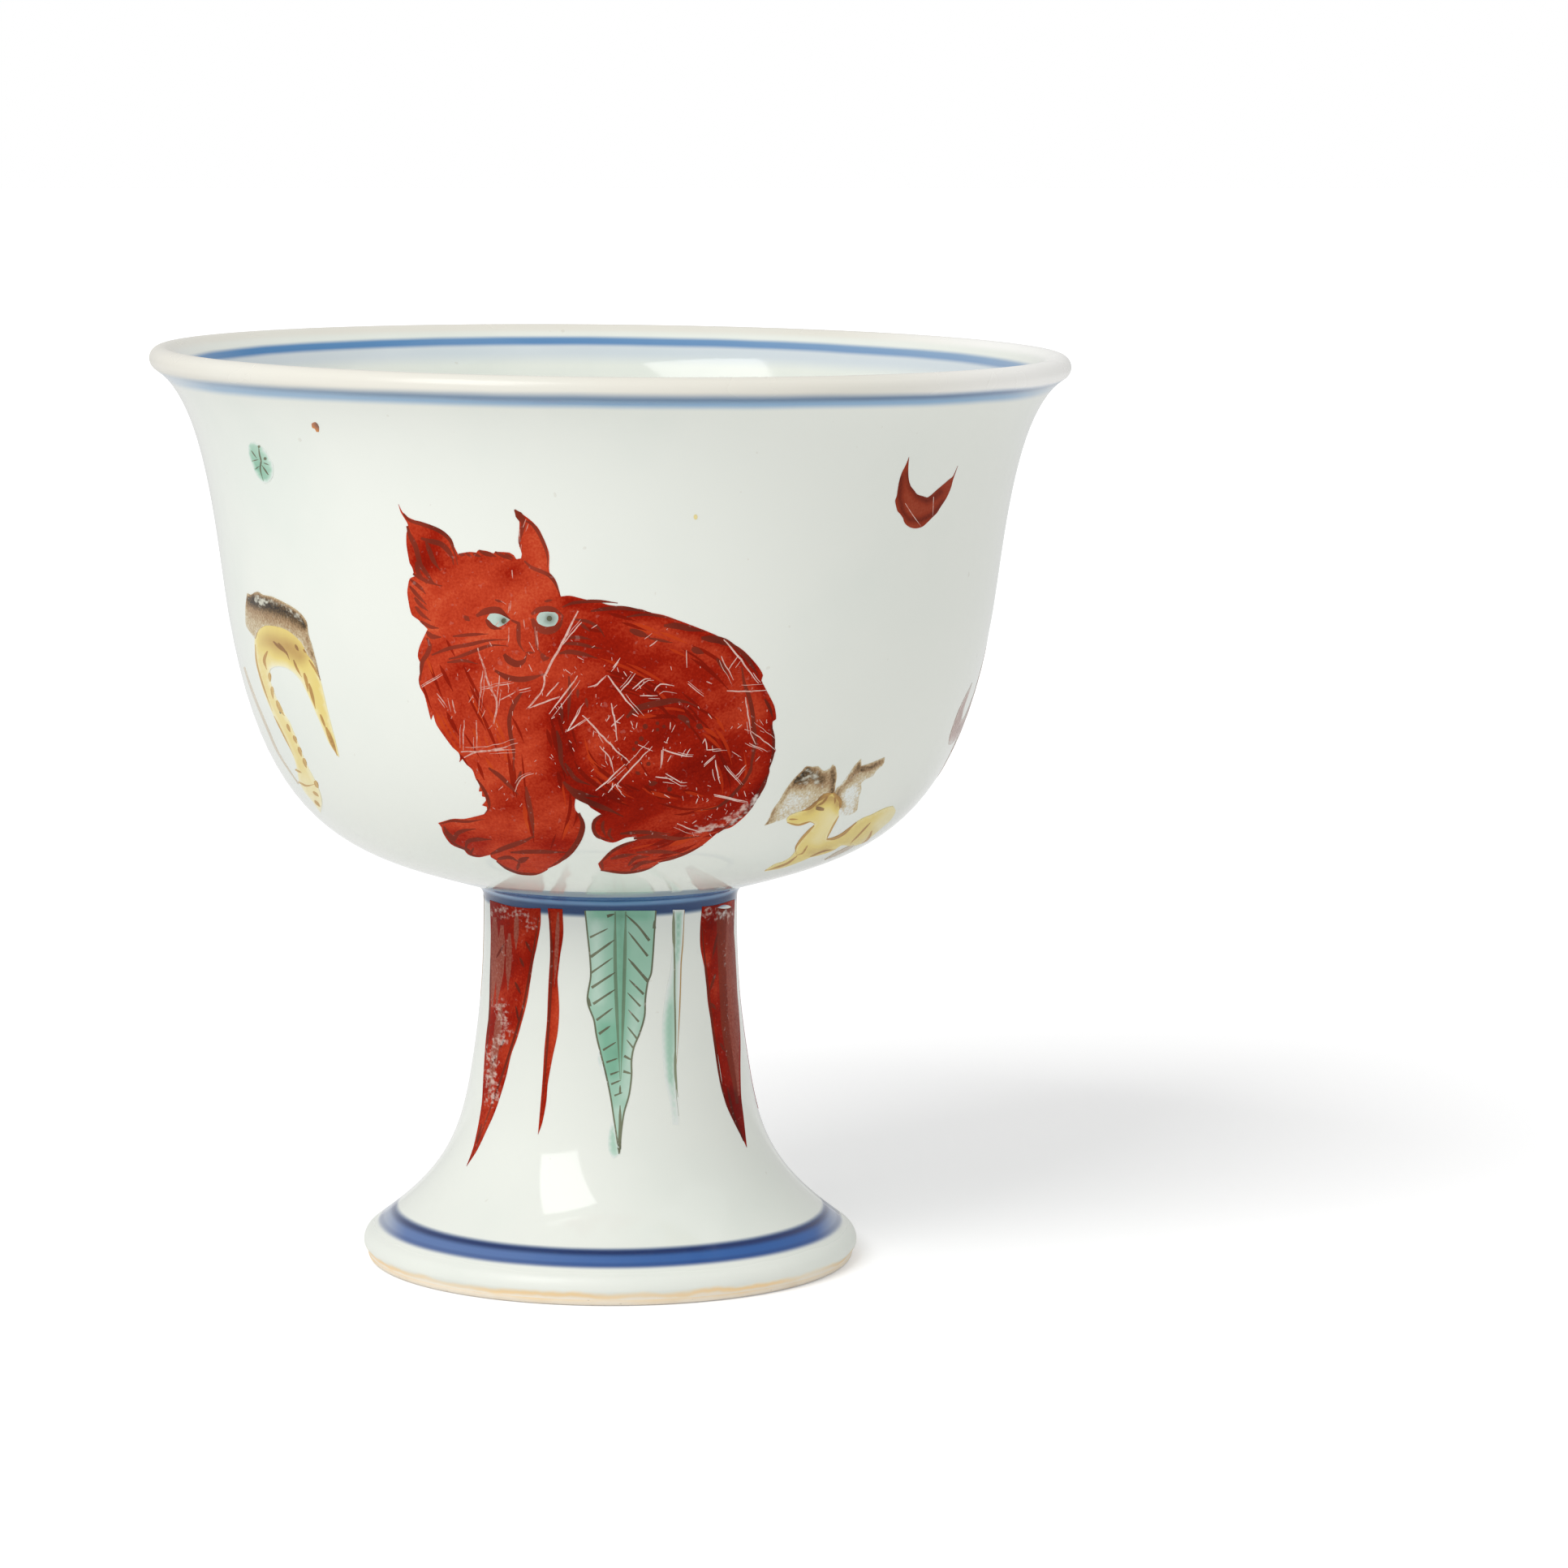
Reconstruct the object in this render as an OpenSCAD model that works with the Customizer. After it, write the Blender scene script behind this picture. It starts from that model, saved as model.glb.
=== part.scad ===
// Stem cup: a thrown bowl with an everted lip, luted with slip onto a hollow stem that spreads to a foot.
// Millimetres, +Z up, origin at the centre of the standing face. Every piece is turned about the Z axis.

/* [Bowl] */
// Outside diameter over the lip
rim_d = 78; // [70:0.5:90]
// Height of the bowl, from the top end of the stem to the crest of the lip
bowl_h = 47; // [42:0.2:60]
// Diameter at the belly, where the wall turns upright
belly_d = 65; // [58:0.5:70]
// Height of the belly above the top end of the stem
belly_rise = 24.5; // [20:0.1:30]
// Lean of the wall at the belly, in degrees from upright
belly_lean = 9.2; // [4:0.2:14]
// Slope of the underside where it leaves the collar, in degrees
underside_slope = 17; // [12:0.5:30]
// Slope of the lip, in degrees above level
lip_slope = 31.6; // [20:0.2:60]
// Thickness of the rounded lip
lip_t = 2; // [1.4:0.1:3]
// Thickness of the wall at the belly
wall_t = 2.6; // [1.8:0.1:4]
// Thickness of the bowl beside the collar
base_t = 3.6; // [2.8:0.1:5]
// Fullness of the underside, as a share of the span from collar to belly
underside_pull = 0.32; // [0.2:0.01:0.45]
// Fullness of the belly from below, as a share of the same span
belly_pull = 0.635; // [0.4:0.005:0.75]
// Straightness of the wall, as a share of the span from belly to lip
wall_pull = 0.29; // [0.2:0.01:0.45]
// Sweep of the flare into the lip, as a share of the same span
lip_pull = 0.235; // [0.15:0.005:0.35]

/* [Stem and foot] */
// Height of the stem, from the standing face to its top end
stem_h = 31.2; // [26:0.2:45]
// Diameter of the stem at its top end
waist_d = 21.7; // [18:0.1:24]
// Diameter of the stem at the knee, where the foot starts to spread
knee_d = 24.1; // [22:0.1:28]
// Height of the knee
knee_h = 16; // [13:0.2:20]
// Lean of the stem at the knee, in degrees from upright
knee_lean = 9.2; // [5:0.2:15]
// Diameter of the foot
foot_d = 42.6; // [38:0.2:50]
// Height of the widest point of the foot
foot_wide_h = 1.4; // [1.2:0.1:2.4]
// Radius of the rounded upper edge of the foot
foot_roll_r = 1.4; // [1:0.1:2]
// Radius of the lower edge of the foot
foot_edge_r = 0.5; // [0.2:0.1:0.8]
// Slope of the spread foot above its edge, in degrees
flare_slope = 36; // [28:0.5:45]
// Width of the flat ring that the cup stands on
ring_w = 2.8; // [2:0.1:4]
// Thickness of the clay wall of the hollow stem
stem_wall = 3.5; // [2.5:0.1:4.5]
// Sweep of the spread foot at its edge, as a share of the span from edge to knee
flare_pull = 0.465; // [0.35:0.005:0.55]
// Sweep of the spread foot below the knee, as a share of the same span
knee_pull = 0.38; // [0.25:0.01:0.5]
// Straightness of the stem above the knee, as a share of the span from knee to top end
stem_pull = 0.41; // [0.25:0.01:0.5]

/* [Luted joint] */
// Thickness of the slip between bowl and stem
slip_t = 0.4; // [0.2:0.05:0.6]
// Length of the bowl's spigot below the top end of the stem
spigot_l = 1.2; // [0.8:0.1:3]
// Radius of the bead of slip squeezed out inside the stem
bead_r = 1.2; // [0.8:0.1:1.8]
// Radius of the hollow between stem and bowl at the collar
collar_r = 1.6; // [1:0.1:3]

/* [Glaze] */
// Thickness of the glaze over the bowl and the outside of the stem
glaze_t = 0.35; // [0.2:0.05:0.6]
// Thickness of the glaze that lines the hollow stem
lining_t = 0.3; // [0.2:0.05:0.5]
// Height at which the outside glaze stops above the bare foot ring
glaze_line = 1; // [0.9:0.05:1.1]
// Height at which the lining stops above the bare foot ring
lining_line = 1.8; // [1:0.1:4]

/* [Hidden] */
$fn = 96;
// Steps along a long curve, and around a small round
curve_steps = 16;
round_steps = 6;
// Places in a profile entry: the point, and the direction from it into the wall
POINT = 0;
INTO = 1;

cup_h = stem_h + bowl_h;
seat_z = stem_h + slip_t;
spigot_z = stem_h - spigot_l;
waist_r = waist_d / 2;
foot_r = foot_d / 2;
clay_foot_r = foot_r - glaze_t;
clay_waist_r = waist_r - glaze_t;
bore_r = clay_waist_r - stem_wall;
spigot_r = bore_r - slip_t;
socket_z = spigot_z - bead_r - lining_t;
stand_r = clay_foot_r - foot_edge_r;
ring_in_r = stand_r - ring_w;

function direction(angle) = [cos(angle), sin(angle)];
function span(a, b, share) = share * norm(b - a);

// A cubic curve through its end points c[0] and c[3], with c[1] and c[2] as its handles
function curve_point(c, t) =
    (1 - t)^3 * c[0] + 3 * (1 - t)^2 * t * c[1] + 3 * (1 - t) * t^2 * c[2] + t^3 * c[3];
function curve_slope(c, t) =
    (1 - t)^2 * (c[1] - c[0]) + 2 * (1 - t) * t * (c[2] - c[1]) + t^2 * (c[3] - c[2]);
function left_of(slope) = [-slope[1], slope[0]] / norm(slope);
function along(c) =
    [for (i = [0:curve_steps]) let (t = i / curve_steps)
        [curve_point(c, t), left_of(curve_slope(c, t))]];

// A round about a centre; side is -1 where the wall lies inside the circle and 1 where it lies outside
function round_at(centre, r, angles, side) =
    [for (a = angles) [centre + r * direction(a), side * direction(a)]];
function sweep(from, to) = [for (i = [0:round_steps]) from + (to - from) * i / round_steps];

// A profile moved into its wall by a depth
function sunk(profile, depth) = [for (e = profile) e[POINT] + depth * e[INTO]];
function reversed(list) = [for (i = [len(list) - 1:-1:0]) list[i]];
function without_first(list) = [for (i = [1:len(list) - 1]) list[i]];
function without_last(list) = [for (i = [0:len(list) - 2]) list[i]];

// Outside of the foot and stem over the glaze, from the widest point of the foot to the top end
roll_centre = [foot_r - foot_roll_r, foot_wide_h];
roll = round_at(roll_centre, foot_roll_r, sweep(0, 90 - flare_slope), -1);
flare_start = roll[round_steps][POINT];
knee = [knee_d / 2, knee_h];
waist = [waist_r, stem_h];
flare = along([
    flare_start,
    flare_start + span(flare_start, knee, flare_pull) * direction(180 - flare_slope),
    knee - span(flare_start, knee, knee_pull) * direction(90 + knee_lean),
    knee
]);
shaft = along([
    knee,
    knee + span(knee, waist, stem_pull) * direction(90 + knee_lean),
    waist - span(knee, waist, stem_pull) * direction(90),
    waist
]);
stem_profile = concat(without_last(roll), without_last(flare), shaft);

// Hollow collar between stem and bowl, from the top end of the stem to the underside of the bowl
collar_centre = [waist_r + collar_r, stem_h];
seat_angle = 180 - asin(slip_t / (collar_r + glaze_t));
collar = round_at(collar_centre, collar_r, sweep(seat_angle, 90 + underside_slope), 1);

// Outside of the bowl, the lip, and the inside down to the centre of the floor
lip_centre = [rim_d / 2 - lip_t / 2, cup_h - lip_t / 2];
lip_start = lip_centre + lip_t / 2 * direction(lip_slope - 90);
belly = [belly_d / 2, stem_h + belly_rise];
underside_start = collar[round_steps][POINT];
underside_curve = [
    underside_start,
    underside_start + span(underside_start, belly, underside_pull) * direction(underside_slope),
    belly - span(underside_start, belly, belly_pull) * direction(90 - belly_lean),
    belly
];
wall_curve = [
    belly,
    belly + span(belly, lip_start, wall_pull) * direction(90 - belly_lean),
    lip_start - span(belly, lip_start, lip_pull) * direction(lip_slope),
    lip_start
];
underside = along(underside_curve);
wall = along(wall_curve);
lip = round_at(lip_centre, lip_t / 2, sweep(lip_slope - 90, lip_slope + 90), -1);
// The inside faces the outside, across a wall that thins from the base to the lip
function facing(profile, thick_first, thick_last) =
    [for (i = [len(profile) - 1:-1:0])
        let (t = i / curve_steps, thick = thick_first + (thick_last - thick_first) * t)
        [profile[i][POINT] + thick * profile[i][INTO], -profile[i][INTO]]];
inside_wall = facing(wall, wall_t, lip_t);
inside_underside = facing(underside, base_t, wall_t);
floor_edge = inside_underside[curve_steps][POINT];
floor_mid = [floor_edge[0] / 2, floor_edge[1] - floor_edge[0] / 2 * tan(underside_slope)];
inside_floor = along([floor_edge, floor_mid, floor_mid, [0, floor_mid[1]]]);
bowl_profile = concat(
    without_last(collar), without_last(underside), without_last(wall), lip,
    without_first(inside_wall), without_first(inside_underside), without_first(inside_floor)
);

// Inside of the hollow stem, from its straight socket down to the foot ring
hollow = [for (e = reversed(concat(without_last(flare), shaft)))
    let (p = e[POINT] + (glaze_t + stem_wall) * e[INTO])
    if (p[1] < socket_z && p[1] > foot_edge_r && p[0] < ring_in_r) [p, e[INTO]]];
bead_centre = [bore_r, spigot_z];
bead = [for (e = round_at(bead_centre, bead_r, sweep(180, 270), -1)) e[POINT]];

module turned(outline) {
    rotate_extrude() polygon(outline);
}

// Bowl with a flat seat and a short spigot under its centre
module bowl() {
    color("#ece6da") turned(concat(
        [[0, spigot_z], [spigot_r, spigot_z], [spigot_r, seat_z]],
        sunk(bowl_profile, glaze_t)
    ));
}

// Hollow stem with a straight socket at its top and a flat bare ring to stand on
module stem() {
    edge_centre = [stand_r, foot_edge_r];
    edge = [for (e = round_at(edge_centre, foot_edge_r, sweep(-90, 0), -1)) e[POINT]];
    color("#e5d9c4") turned(concat(
        [[ring_in_r, 0]],
        edge,
        sunk(stem_profile, glaze_t),
        [[bore_r, stem_h], [bore_r, socket_z]],
        sunk(hollow, 0)
    ));
}

// Slip that fills the seat and the socket, with its bead below the spigot
module luting_slip() {
    color("#d8cdb8") turned(concat(
        [[clay_waist_r, stem_h], sunk(collar, glaze_t)[0], [spigot_r, seat_z], [spigot_r, spigot_z]],
        bead,
        [[bore_r, stem_h]]
    ));
}

// Glaze over the outside of the stem, the collar, and the outside and inside of the bowl
module glaze_coat() {
    edge = [for (a = sweep(0, 90))
        [clay_foot_r + glaze_t * sin(a), foot_wide_h - (foot_wide_h - glaze_line) * cos(a)]];
    covered = concat(stem_profile, bowl_profile);
    color("#e6eae6") turned(concat(without_last(edge), sunk(covered, 0), reversed(sunk(covered, glaze_t))));
}

// Glaze that lines the hollow stem, across the bead of slip and the end of the spigot
module stem_lining() {
    lined = [for (e = hollow) if (e[POINT][1] > lining_line) e];
    corner = asin(lining_t / (bead_r + lining_t));
    bead_face = [for (e = round_at(bead_centre, bead_r + lining_t, sweep(180 + corner, 270 - corner), -1))
        e[POINT]];
    clay_side = concat(
        [[0, spigot_z]], bead, [[bore_r, socket_z]], sunk(lined, 0)
    );
    air_side = concat(
        [[0, spigot_z - lining_t]], bead_face, [[bore_r - lining_t, socket_z]],
        without_last(sunk(lined, lining_t))
    );
    color("#dfe6e2") turned(concat(clay_side, reversed(air_side)));
}

bowl();
stem();
luting_slip();
glaze_coat();
stem_lining();
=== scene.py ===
"""Looks of a painted porcelain stem cup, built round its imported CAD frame.

Sizes are in millimetres and become metres where a mesh is made. Pixels are those of the photograph,
1932 by 1932, with rows counted from its top.
"""

import logging
import math
import random
from dataclasses import dataclass, field, replace
from enum import Enum
from functools import cached_property
from typing import NamedTuple, Sequence

import bpy
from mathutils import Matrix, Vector
from mathutils.geometry import delaunay_2d_cdt, intersect_point_line
from mathutils.kdtree import KDTree


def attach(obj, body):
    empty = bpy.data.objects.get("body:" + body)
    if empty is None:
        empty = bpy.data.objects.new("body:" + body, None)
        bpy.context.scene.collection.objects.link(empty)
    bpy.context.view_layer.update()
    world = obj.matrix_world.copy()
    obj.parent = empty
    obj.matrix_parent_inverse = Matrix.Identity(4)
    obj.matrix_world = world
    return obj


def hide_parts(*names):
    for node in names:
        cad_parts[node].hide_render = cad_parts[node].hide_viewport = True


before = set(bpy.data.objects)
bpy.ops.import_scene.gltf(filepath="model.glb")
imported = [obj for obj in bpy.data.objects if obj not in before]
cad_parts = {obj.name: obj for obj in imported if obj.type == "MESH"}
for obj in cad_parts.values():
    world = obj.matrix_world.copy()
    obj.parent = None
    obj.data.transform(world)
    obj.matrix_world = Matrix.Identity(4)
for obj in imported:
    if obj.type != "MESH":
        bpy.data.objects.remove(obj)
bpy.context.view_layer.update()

log = logging.getLogger("stem_cup")

MM = 0.001
ROOT = "root"
Pixel = tuple[float, float]
Outline = tuple[Pixel, ...]
Rgb = tuple[int, int, int]
Row = tuple[float, ...]
Piece = bpy.types.Object
Socket = bpy.types.NodeSocket


def smoothstep(low: float, high: float, value: float) -> float:
    """Soft step from 0 at low to 1 at high."""
    t = min(1.0, max(0.0, (value - low) / (high - low)))
    return t * t * (3 - 2 * t)


def linear(colour: Rgb) -> tuple[float, float, float, float]:
    """Screen colour from 0 to 255 as the linear colour that Blender takes."""
    parts = [c / 255 for c in colour]
    return (*[p / 12.92 if p <= 0.04045 else ((p + 0.055) / 1.055) ** 2.4 for p in parts], 1.0)


def heading(angle: float) -> Vector:
    """Unit vector at an angle in degrees."""
    return Vector((math.cos(math.radians(angle)), math.sin(math.radians(angle))))


class Station(NamedTuple):
    """A place on the half section: radius and height, and the direction into the wall."""

    at: Vector
    into: Vector


def along(handles: Sequence[Vector], steps: int) -> list[Station]:
    """Stations along a cubic curve.

    Args:
        handles: start, two handles and end.
        steps: number of steps.

    Returns:
        steps + 1 stations, with the wall on the left.
    """
    a, b, c, d = handles
    stations = []
    for i in range(steps + 1):
        t = i / steps
        s = 1 - t
        at = s**3 * a + 3 * s * s * t * b + 3 * s * t * t * c + t**3 * d
        slope = (s * s * (b - a) + 2 * s * t * (c - b) + t * t * (d - c)).normalized()
        stations.append(Station(at, Vector((-slope.y, slope.x))))
    return stations


def round_at(centre: Vector, radius: float, start: float, end: float, steps: int, side: int) -> list[Station]:
    """Stations round a centre.

    Args:
        centre: middle of the round.
        radius: its radius.
        start: first angle in degrees.
        end: last angle in degrees.
        steps: number of steps.
        side: -1 where the wall lies inside the circle, 1 where it lies outside.

    Returns:
        steps + 1 stations.
    """
    angles = [start + (end - start) * i / steps for i in range(steps + 1)]
    return [Station(centre + radius * heading(a), side * heading(a)) for a in angles]


@dataclass(frozen=True)
class CupProfile:
    """Half section of the cup over its glaze, with the sizes of the CAD source."""

    rim_r: float = 39.0
    cup_h: float = 78.2
    belly_r: float = 32.5
    belly_z: float = 55.7
    belly_lean: float = 9.2
    underside_slope: float = 17.0
    lip_slope: float = 31.6
    lip_t: float = 2.0
    wall_t: float = 2.6
    base_t: float = 3.6
    underside_pull: float = 0.32
    belly_pull: float = 0.635
    wall_pull: float = 0.29
    lip_pull: float = 0.235
    stem_h: float = 31.2
    waist_r: float = 10.85
    knee_r: float = 12.05
    knee_h: float = 16.0
    knee_lean: float = 9.2
    foot_r: float = 21.3
    foot_wide_h: float = 1.4
    foot_roll_r: float = 1.4
    foot_edge_r: float = 0.5
    flare_slope: float = 36.0
    ring_w: float = 2.8
    stem_wall: float = 3.5
    flare_pull: float = 0.465
    knee_pull: float = 0.38
    stem_pull: float = 0.41
    slip_t: float = 0.4
    spigot_l: float = 1.2
    bead_r: float = 1.2
    collar_r: float = 1.6
    glaze_t: float = 0.35
    lining_t: float = 0.3
    lining_line: float = 1.8
    long_steps: int = 24
    short_steps: int = 8

    @property
    def bore_r(self) -> float:
        """Radius of the socket in the top of the stem."""
        return self.waist_r - self.glaze_t - self.stem_wall

    @property
    def socket_z(self) -> float:
        """Height where the straight socket ends below the bead of slip."""
        return self.stem_h - self.spigot_l - self.bead_r - self.lining_t

    @property
    def stand_r(self) -> float:
        """Outer radius of the flat ring that the cup stands on."""
        return self.foot_r - self.glaze_t - self.foot_edge_r

    @cached_property
    def roll(self) -> list[Station]:
        """Rounded upper edge of the foot."""
        centre = Vector((self.foot_r - self.foot_roll_r, self.foot_wide_h))
        return round_at(centre, self.foot_roll_r, 0, 90 - self.flare_slope, self.short_steps, -1)

    @cached_property
    def flare(self) -> list[Station]:
        """Spread of the foot, from its edge up to the knee."""
        start, knee = self.roll[-1].at, Vector((self.knee_r, self.knee_h))
        span = (knee - start).length
        return along([
            start,
            start + self.flare_pull * span * heading(180 - self.flare_slope),
            knee - self.knee_pull * span * heading(90 + self.knee_lean),
            knee,
        ], self.long_steps)

    @cached_property
    def shaft(self) -> list[Station]:
        """Upright of the stem, from the knee to its top end."""
        knee, waist = self.flare[-1].at, Vector((self.waist_r, self.stem_h))
        pull = self.stem_pull * (waist - knee).length
        return along([
            knee, knee + pull * heading(90 + self.knee_lean), waist - pull * heading(90), waist,
        ], self.long_steps)

    @cached_property
    def collar(self) -> list[Station]:
        """Hollow between the stem and the bowl."""
        centre = Vector((self.waist_r + self.collar_r, self.stem_h))
        seat = 180 - math.degrees(math.asin(self.slip_t / (self.collar_r + self.glaze_t)))
        return round_at(centre, self.collar_r, seat, 90 + self.underside_slope, self.short_steps, 1)

    @cached_property
    def underside(self) -> list[Station]:
        """Bowl from the collar up to the belly."""
        start, belly = self.collar[-1].at, Vector((self.belly_r, self.belly_z))
        span = (belly - start).length
        return along([
            start,
            start + self.underside_pull * span * heading(self.underside_slope),
            belly - self.belly_pull * span * heading(90 - self.belly_lean),
            belly,
        ], self.long_steps)

    @cached_property
    def lip_centre(self) -> Vector:
        """Middle of the rounded lip."""
        return Vector((self.rim_r - self.lip_t / 2, self.cup_h - self.lip_t / 2))

    @cached_property
    def wall(self) -> list[Station]:
        """Bowl from the belly up to the lip."""
        belly = self.underside[-1].at
        end = self.lip_centre + self.lip_t / 2 * heading(self.lip_slope - 90)
        span = (end - belly).length
        return along([
            belly,
            belly + self.wall_pull * span * heading(90 - self.belly_lean),
            end - self.lip_pull * span * heading(self.lip_slope),
            end,
        ], self.long_steps)

    @cached_property
    def lip(self) -> list[Station]:
        """Rounded lip, from outside to inside."""
        slope = self.lip_slope
        return round_at(self.lip_centre, self.lip_t / 2, slope - 90, slope + 90, self.short_steps * 2, -1)

    def facing(self, outside: Sequence[Station], first: float, last: float) -> list[Station]:
        """Inside of a stretch of wall.

        Args:
            outside: its outside stations.
            first: thickness at the first of them.
            last: thickness at the last.

        Returns:
            The inside stations, in the opposite order.
        """
        steps = len(outside) - 1
        return [
            Station(s.at + (first + (last - first) * i / steps) * s.into, -s.into)
            for i, s in reversed(list(enumerate(outside)))
        ]

    @cached_property
    def inside(self) -> list[Station]:
        """Inside of the bowl, from the lip to the middle of the floor."""
        wall = self.facing(self.wall, self.wall_t, self.lip_t)
        under = self.facing(self.underside, self.base_t, self.wall_t)
        edge = under[-1].at
        middle = Vector((edge.x / 2, edge.y - edge.x / 2 * math.tan(math.radians(self.underside_slope))))
        floor = along([edge, middle, middle, Vector((0.0, middle.y))], self.long_steps // 2)
        return wall[1:] + under[1:] + floor[1:]

    @cached_property
    def outside(self) -> list[Station]:
        """Outside of the whole cup, from the widest point of the foot to the start of the lip."""
        return (
            self.roll[:-1] + self.flare[:-1] + self.shaft
            + self.collar[:-1] + self.underside[:-1] + self.wall[:-1]
        )

    @cached_property
    def covered(self) -> list[Station]:
        """All that the clear glaze covers, from the foot over the lip to the floor."""
        return self.outside + self.lip + self.inside

    @cached_property
    def runs(self) -> list[float]:
        """Length along the glazed section at each of its stations."""
        runs = [0.0]
        for a, b in zip(self.covered, self.covered[1:]):
            runs.append(runs[-1] + (b.at - a.at).length)
        return runs

    def run_at(self, z: float, within: bool = False) -> float:
        """Length along the glazed section at a height.

        Args:
            z: the height.
            within: True for the inside of the bowl.

        Returns:
            The length from the widest point of the foot.
        """
        last = len(self.covered) - 1
        places = range(last, 0, -1) if within else range(1, last + 1)
        for i in places:
            low, high = sorted((self.covered[i - 1].at.y, self.covered[i].at.y))
            if low <= z <= high and high > low:
                share = (z - self.covered[i - 1].at.y) / (self.covered[i].at.y - self.covered[i - 1].at.y)
                return self.runs[i - 1] + share * (self.runs[i] - self.runs[i - 1])
        return self.runs[-1]

    @cached_property
    def radius_table(self) -> list[float]:
        """Outside radius for each tenth of a millimetre of height."""
        fine = [(s.at.y, s.at.x) for s in self.outside + self.lip[: self.short_steps]]
        table, i = [], 0
        for tenth in range(int(self.cup_h * 10) + 1):
            z = tenth / 10
            while i < len(fine) - 2 and fine[i + 1][0] < z:
                i += 1
            (z0, r0), (z1, r1) = fine[i], fine[i + 1]
            share = min(1.0, max(0.0, (z - z0) / (z1 - z0)))
            table.append(r0 + share * (r1 - r0))
        return table

    def radius(self, z: float) -> float:
        """Outside radius at a height."""
        place = min(max(z * 10, 0.0), len(self.radius_table) - 1.001)
        i = int(place)
        return self.radius_table[i] + (place - i) * (self.radius_table[i + 1] - self.radius_table[i])

    def hollow(self) -> list[Vector]:
        """Inside of the hollow stem, from its socket down to the foot ring."""
        ring_in_r = self.stand_r - self.ring_w
        sunk = [s.at + (self.glaze_t + self.stem_wall) * s.into for s in self.flare[:-1] + self.shaft]
        return [
            p for p in reversed(sunk)
            if self.foot_edge_r < p.y < self.socket_z and p.x < ring_in_r
        ]

    def hollow_into(self) -> list[Vector]:
        """Direction out of the wall, into the hollow, at each of its places."""
        points = self.hollow()
        turns = []
        for i in range(len(points)):
            step = points[min(i + 1, len(points) - 1)] - points[max(i - 1, 0)]
            turns.append(Vector((step.y, -step.x)).normalized())
        return turns


@dataclass(frozen=True)
class PhotoCamera:
    """Camera that took the photograph, as fitted to the cup's outline."""

    frame_px: float = 1932.0
    axis_px: float = 752.0
    focal_px: float = 7061.6
    distance: float = 486.5
    height: float = 106.51
    pitch: float = 7.675
    sensor_mm: float = 36.0

    def ray(self, pixel: Pixel) -> tuple[Vector, Vector]:
        """Line of sight through a pixel.

        Args:
            pixel: column and row in the photograph.

        Returns:
            Its start and its direction, in millimetres.
        """
        p = math.radians(self.pitch)
        ahead, up = Vector((0, math.cos(p), -math.sin(p))), Vector((0, math.sin(p), math.cos(p)))
        across = (pixel[0] - self.axis_px) / self.focal_px
        rise = (self.frame_px / 2 - pixel[1]) / self.focal_px
        return Vector((0, -self.distance, self.height)), ahead + across * Vector((1, 0, 0)) + rise * up

    def make(self) -> Piece:
        """Adds the camera and makes it the scene's own."""
        bpy.ops.object.camera_add(
            location=(0, -self.distance * MM, self.height * MM),
            rotation=(math.radians(90 - self.pitch), 0, 0),
        )
        camera = bpy.context.object
        camera.name = "photo_camera"
        camera.data.sensor_width = self.sensor_mm
        camera.data.lens = self.focal_px / self.frame_px * self.sensor_mm
        camera.data.shift_x = 0.5 - self.axis_px / self.frame_px
        camera.data.clip_start, camera.data.clip_end = 0.01, 50
        bpy.context.scene.camera = camera
        return camera


@dataclass(frozen=True)
class CupSurface:
    """Outside of the cup as fired, with the lip that dips a little to the right."""

    profile: CupProfile
    camera: PhotoCamera
    dip: float = 0.0103
    dip_from: float = 45.0
    dip_to: float = 78.0

    def settled(self, point: Vector) -> Vector:
        """A place on the true round, moved to where the fired cup has it."""
        fall = self.dip * point.x * smoothstep(self.dip_from, self.dip_to, point.z)
        return Vector((point.x, point.y, point.z - fall))

    def seen_at(self, pixel: Pixel) -> tuple[float, float]:
        """Place on the cup that a pixel shows.

        Args:
            pixel: column and row in the photograph.

        Returns:
            Angle round the axis from the front, in radians, and height on the true round. A pixel just
            outside the outline gives the nearest place on it.
        """
        start, aim = self.camera.ray(pixel)

        def place(y: float) -> tuple[float, Vector]:
            p = start + aim * ((y - start.y) / aim.y)
            z = p.z + self.dip * p.x * smoothstep(self.dip_from, self.dip_to, p.z)
            return math.hypot(p.x, p.y) - self.profile.radius(z), Vector((p.x, p.y, z))

        near, far = -self.profile.rim_r - 1, 6.0
        steps = 45
        best, best_gap, hit = near, 1e9, None
        for i in range(steps + 1):
            y = near + (far - near) * i / steps
            gap = place(y)[0]
            if gap <= 0:
                hit = y
                break
            if gap < best_gap:
                best, best_gap = y, gap
        if hit is not None:
            low, high = hit - (far - near) / steps, hit
            for _ in range(18):
                middle = (low + high) / 2
                if place(middle)[0] > 0:
                    low = middle
                else:
                    high = middle
            best = high
        p = place(best)[1]
        return math.atan2(p.x, -p.y), p.z

    def point(self, angle: float, z: float, lift: float) -> Vector:
        """Place on the cup, in metres.

        Args:
            angle: angle round the axis from the front, in radians.
            z: height on the true round, in millimetres.
            lift: height above the glaze, in millimetres.

        Returns:
            The place in the row frame.
        """
        step = 0.15
        rise = (self.profile.radius(z + step) - self.profile.radius(z - step)) / (2 * step)
        scale = math.hypot(1, rise)
        r = self.profile.radius(z) + lift / scale
        return self.settled(Vector((r * math.sin(angle), -r * math.cos(angle), z - lift * rise / scale))) * MM


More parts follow.
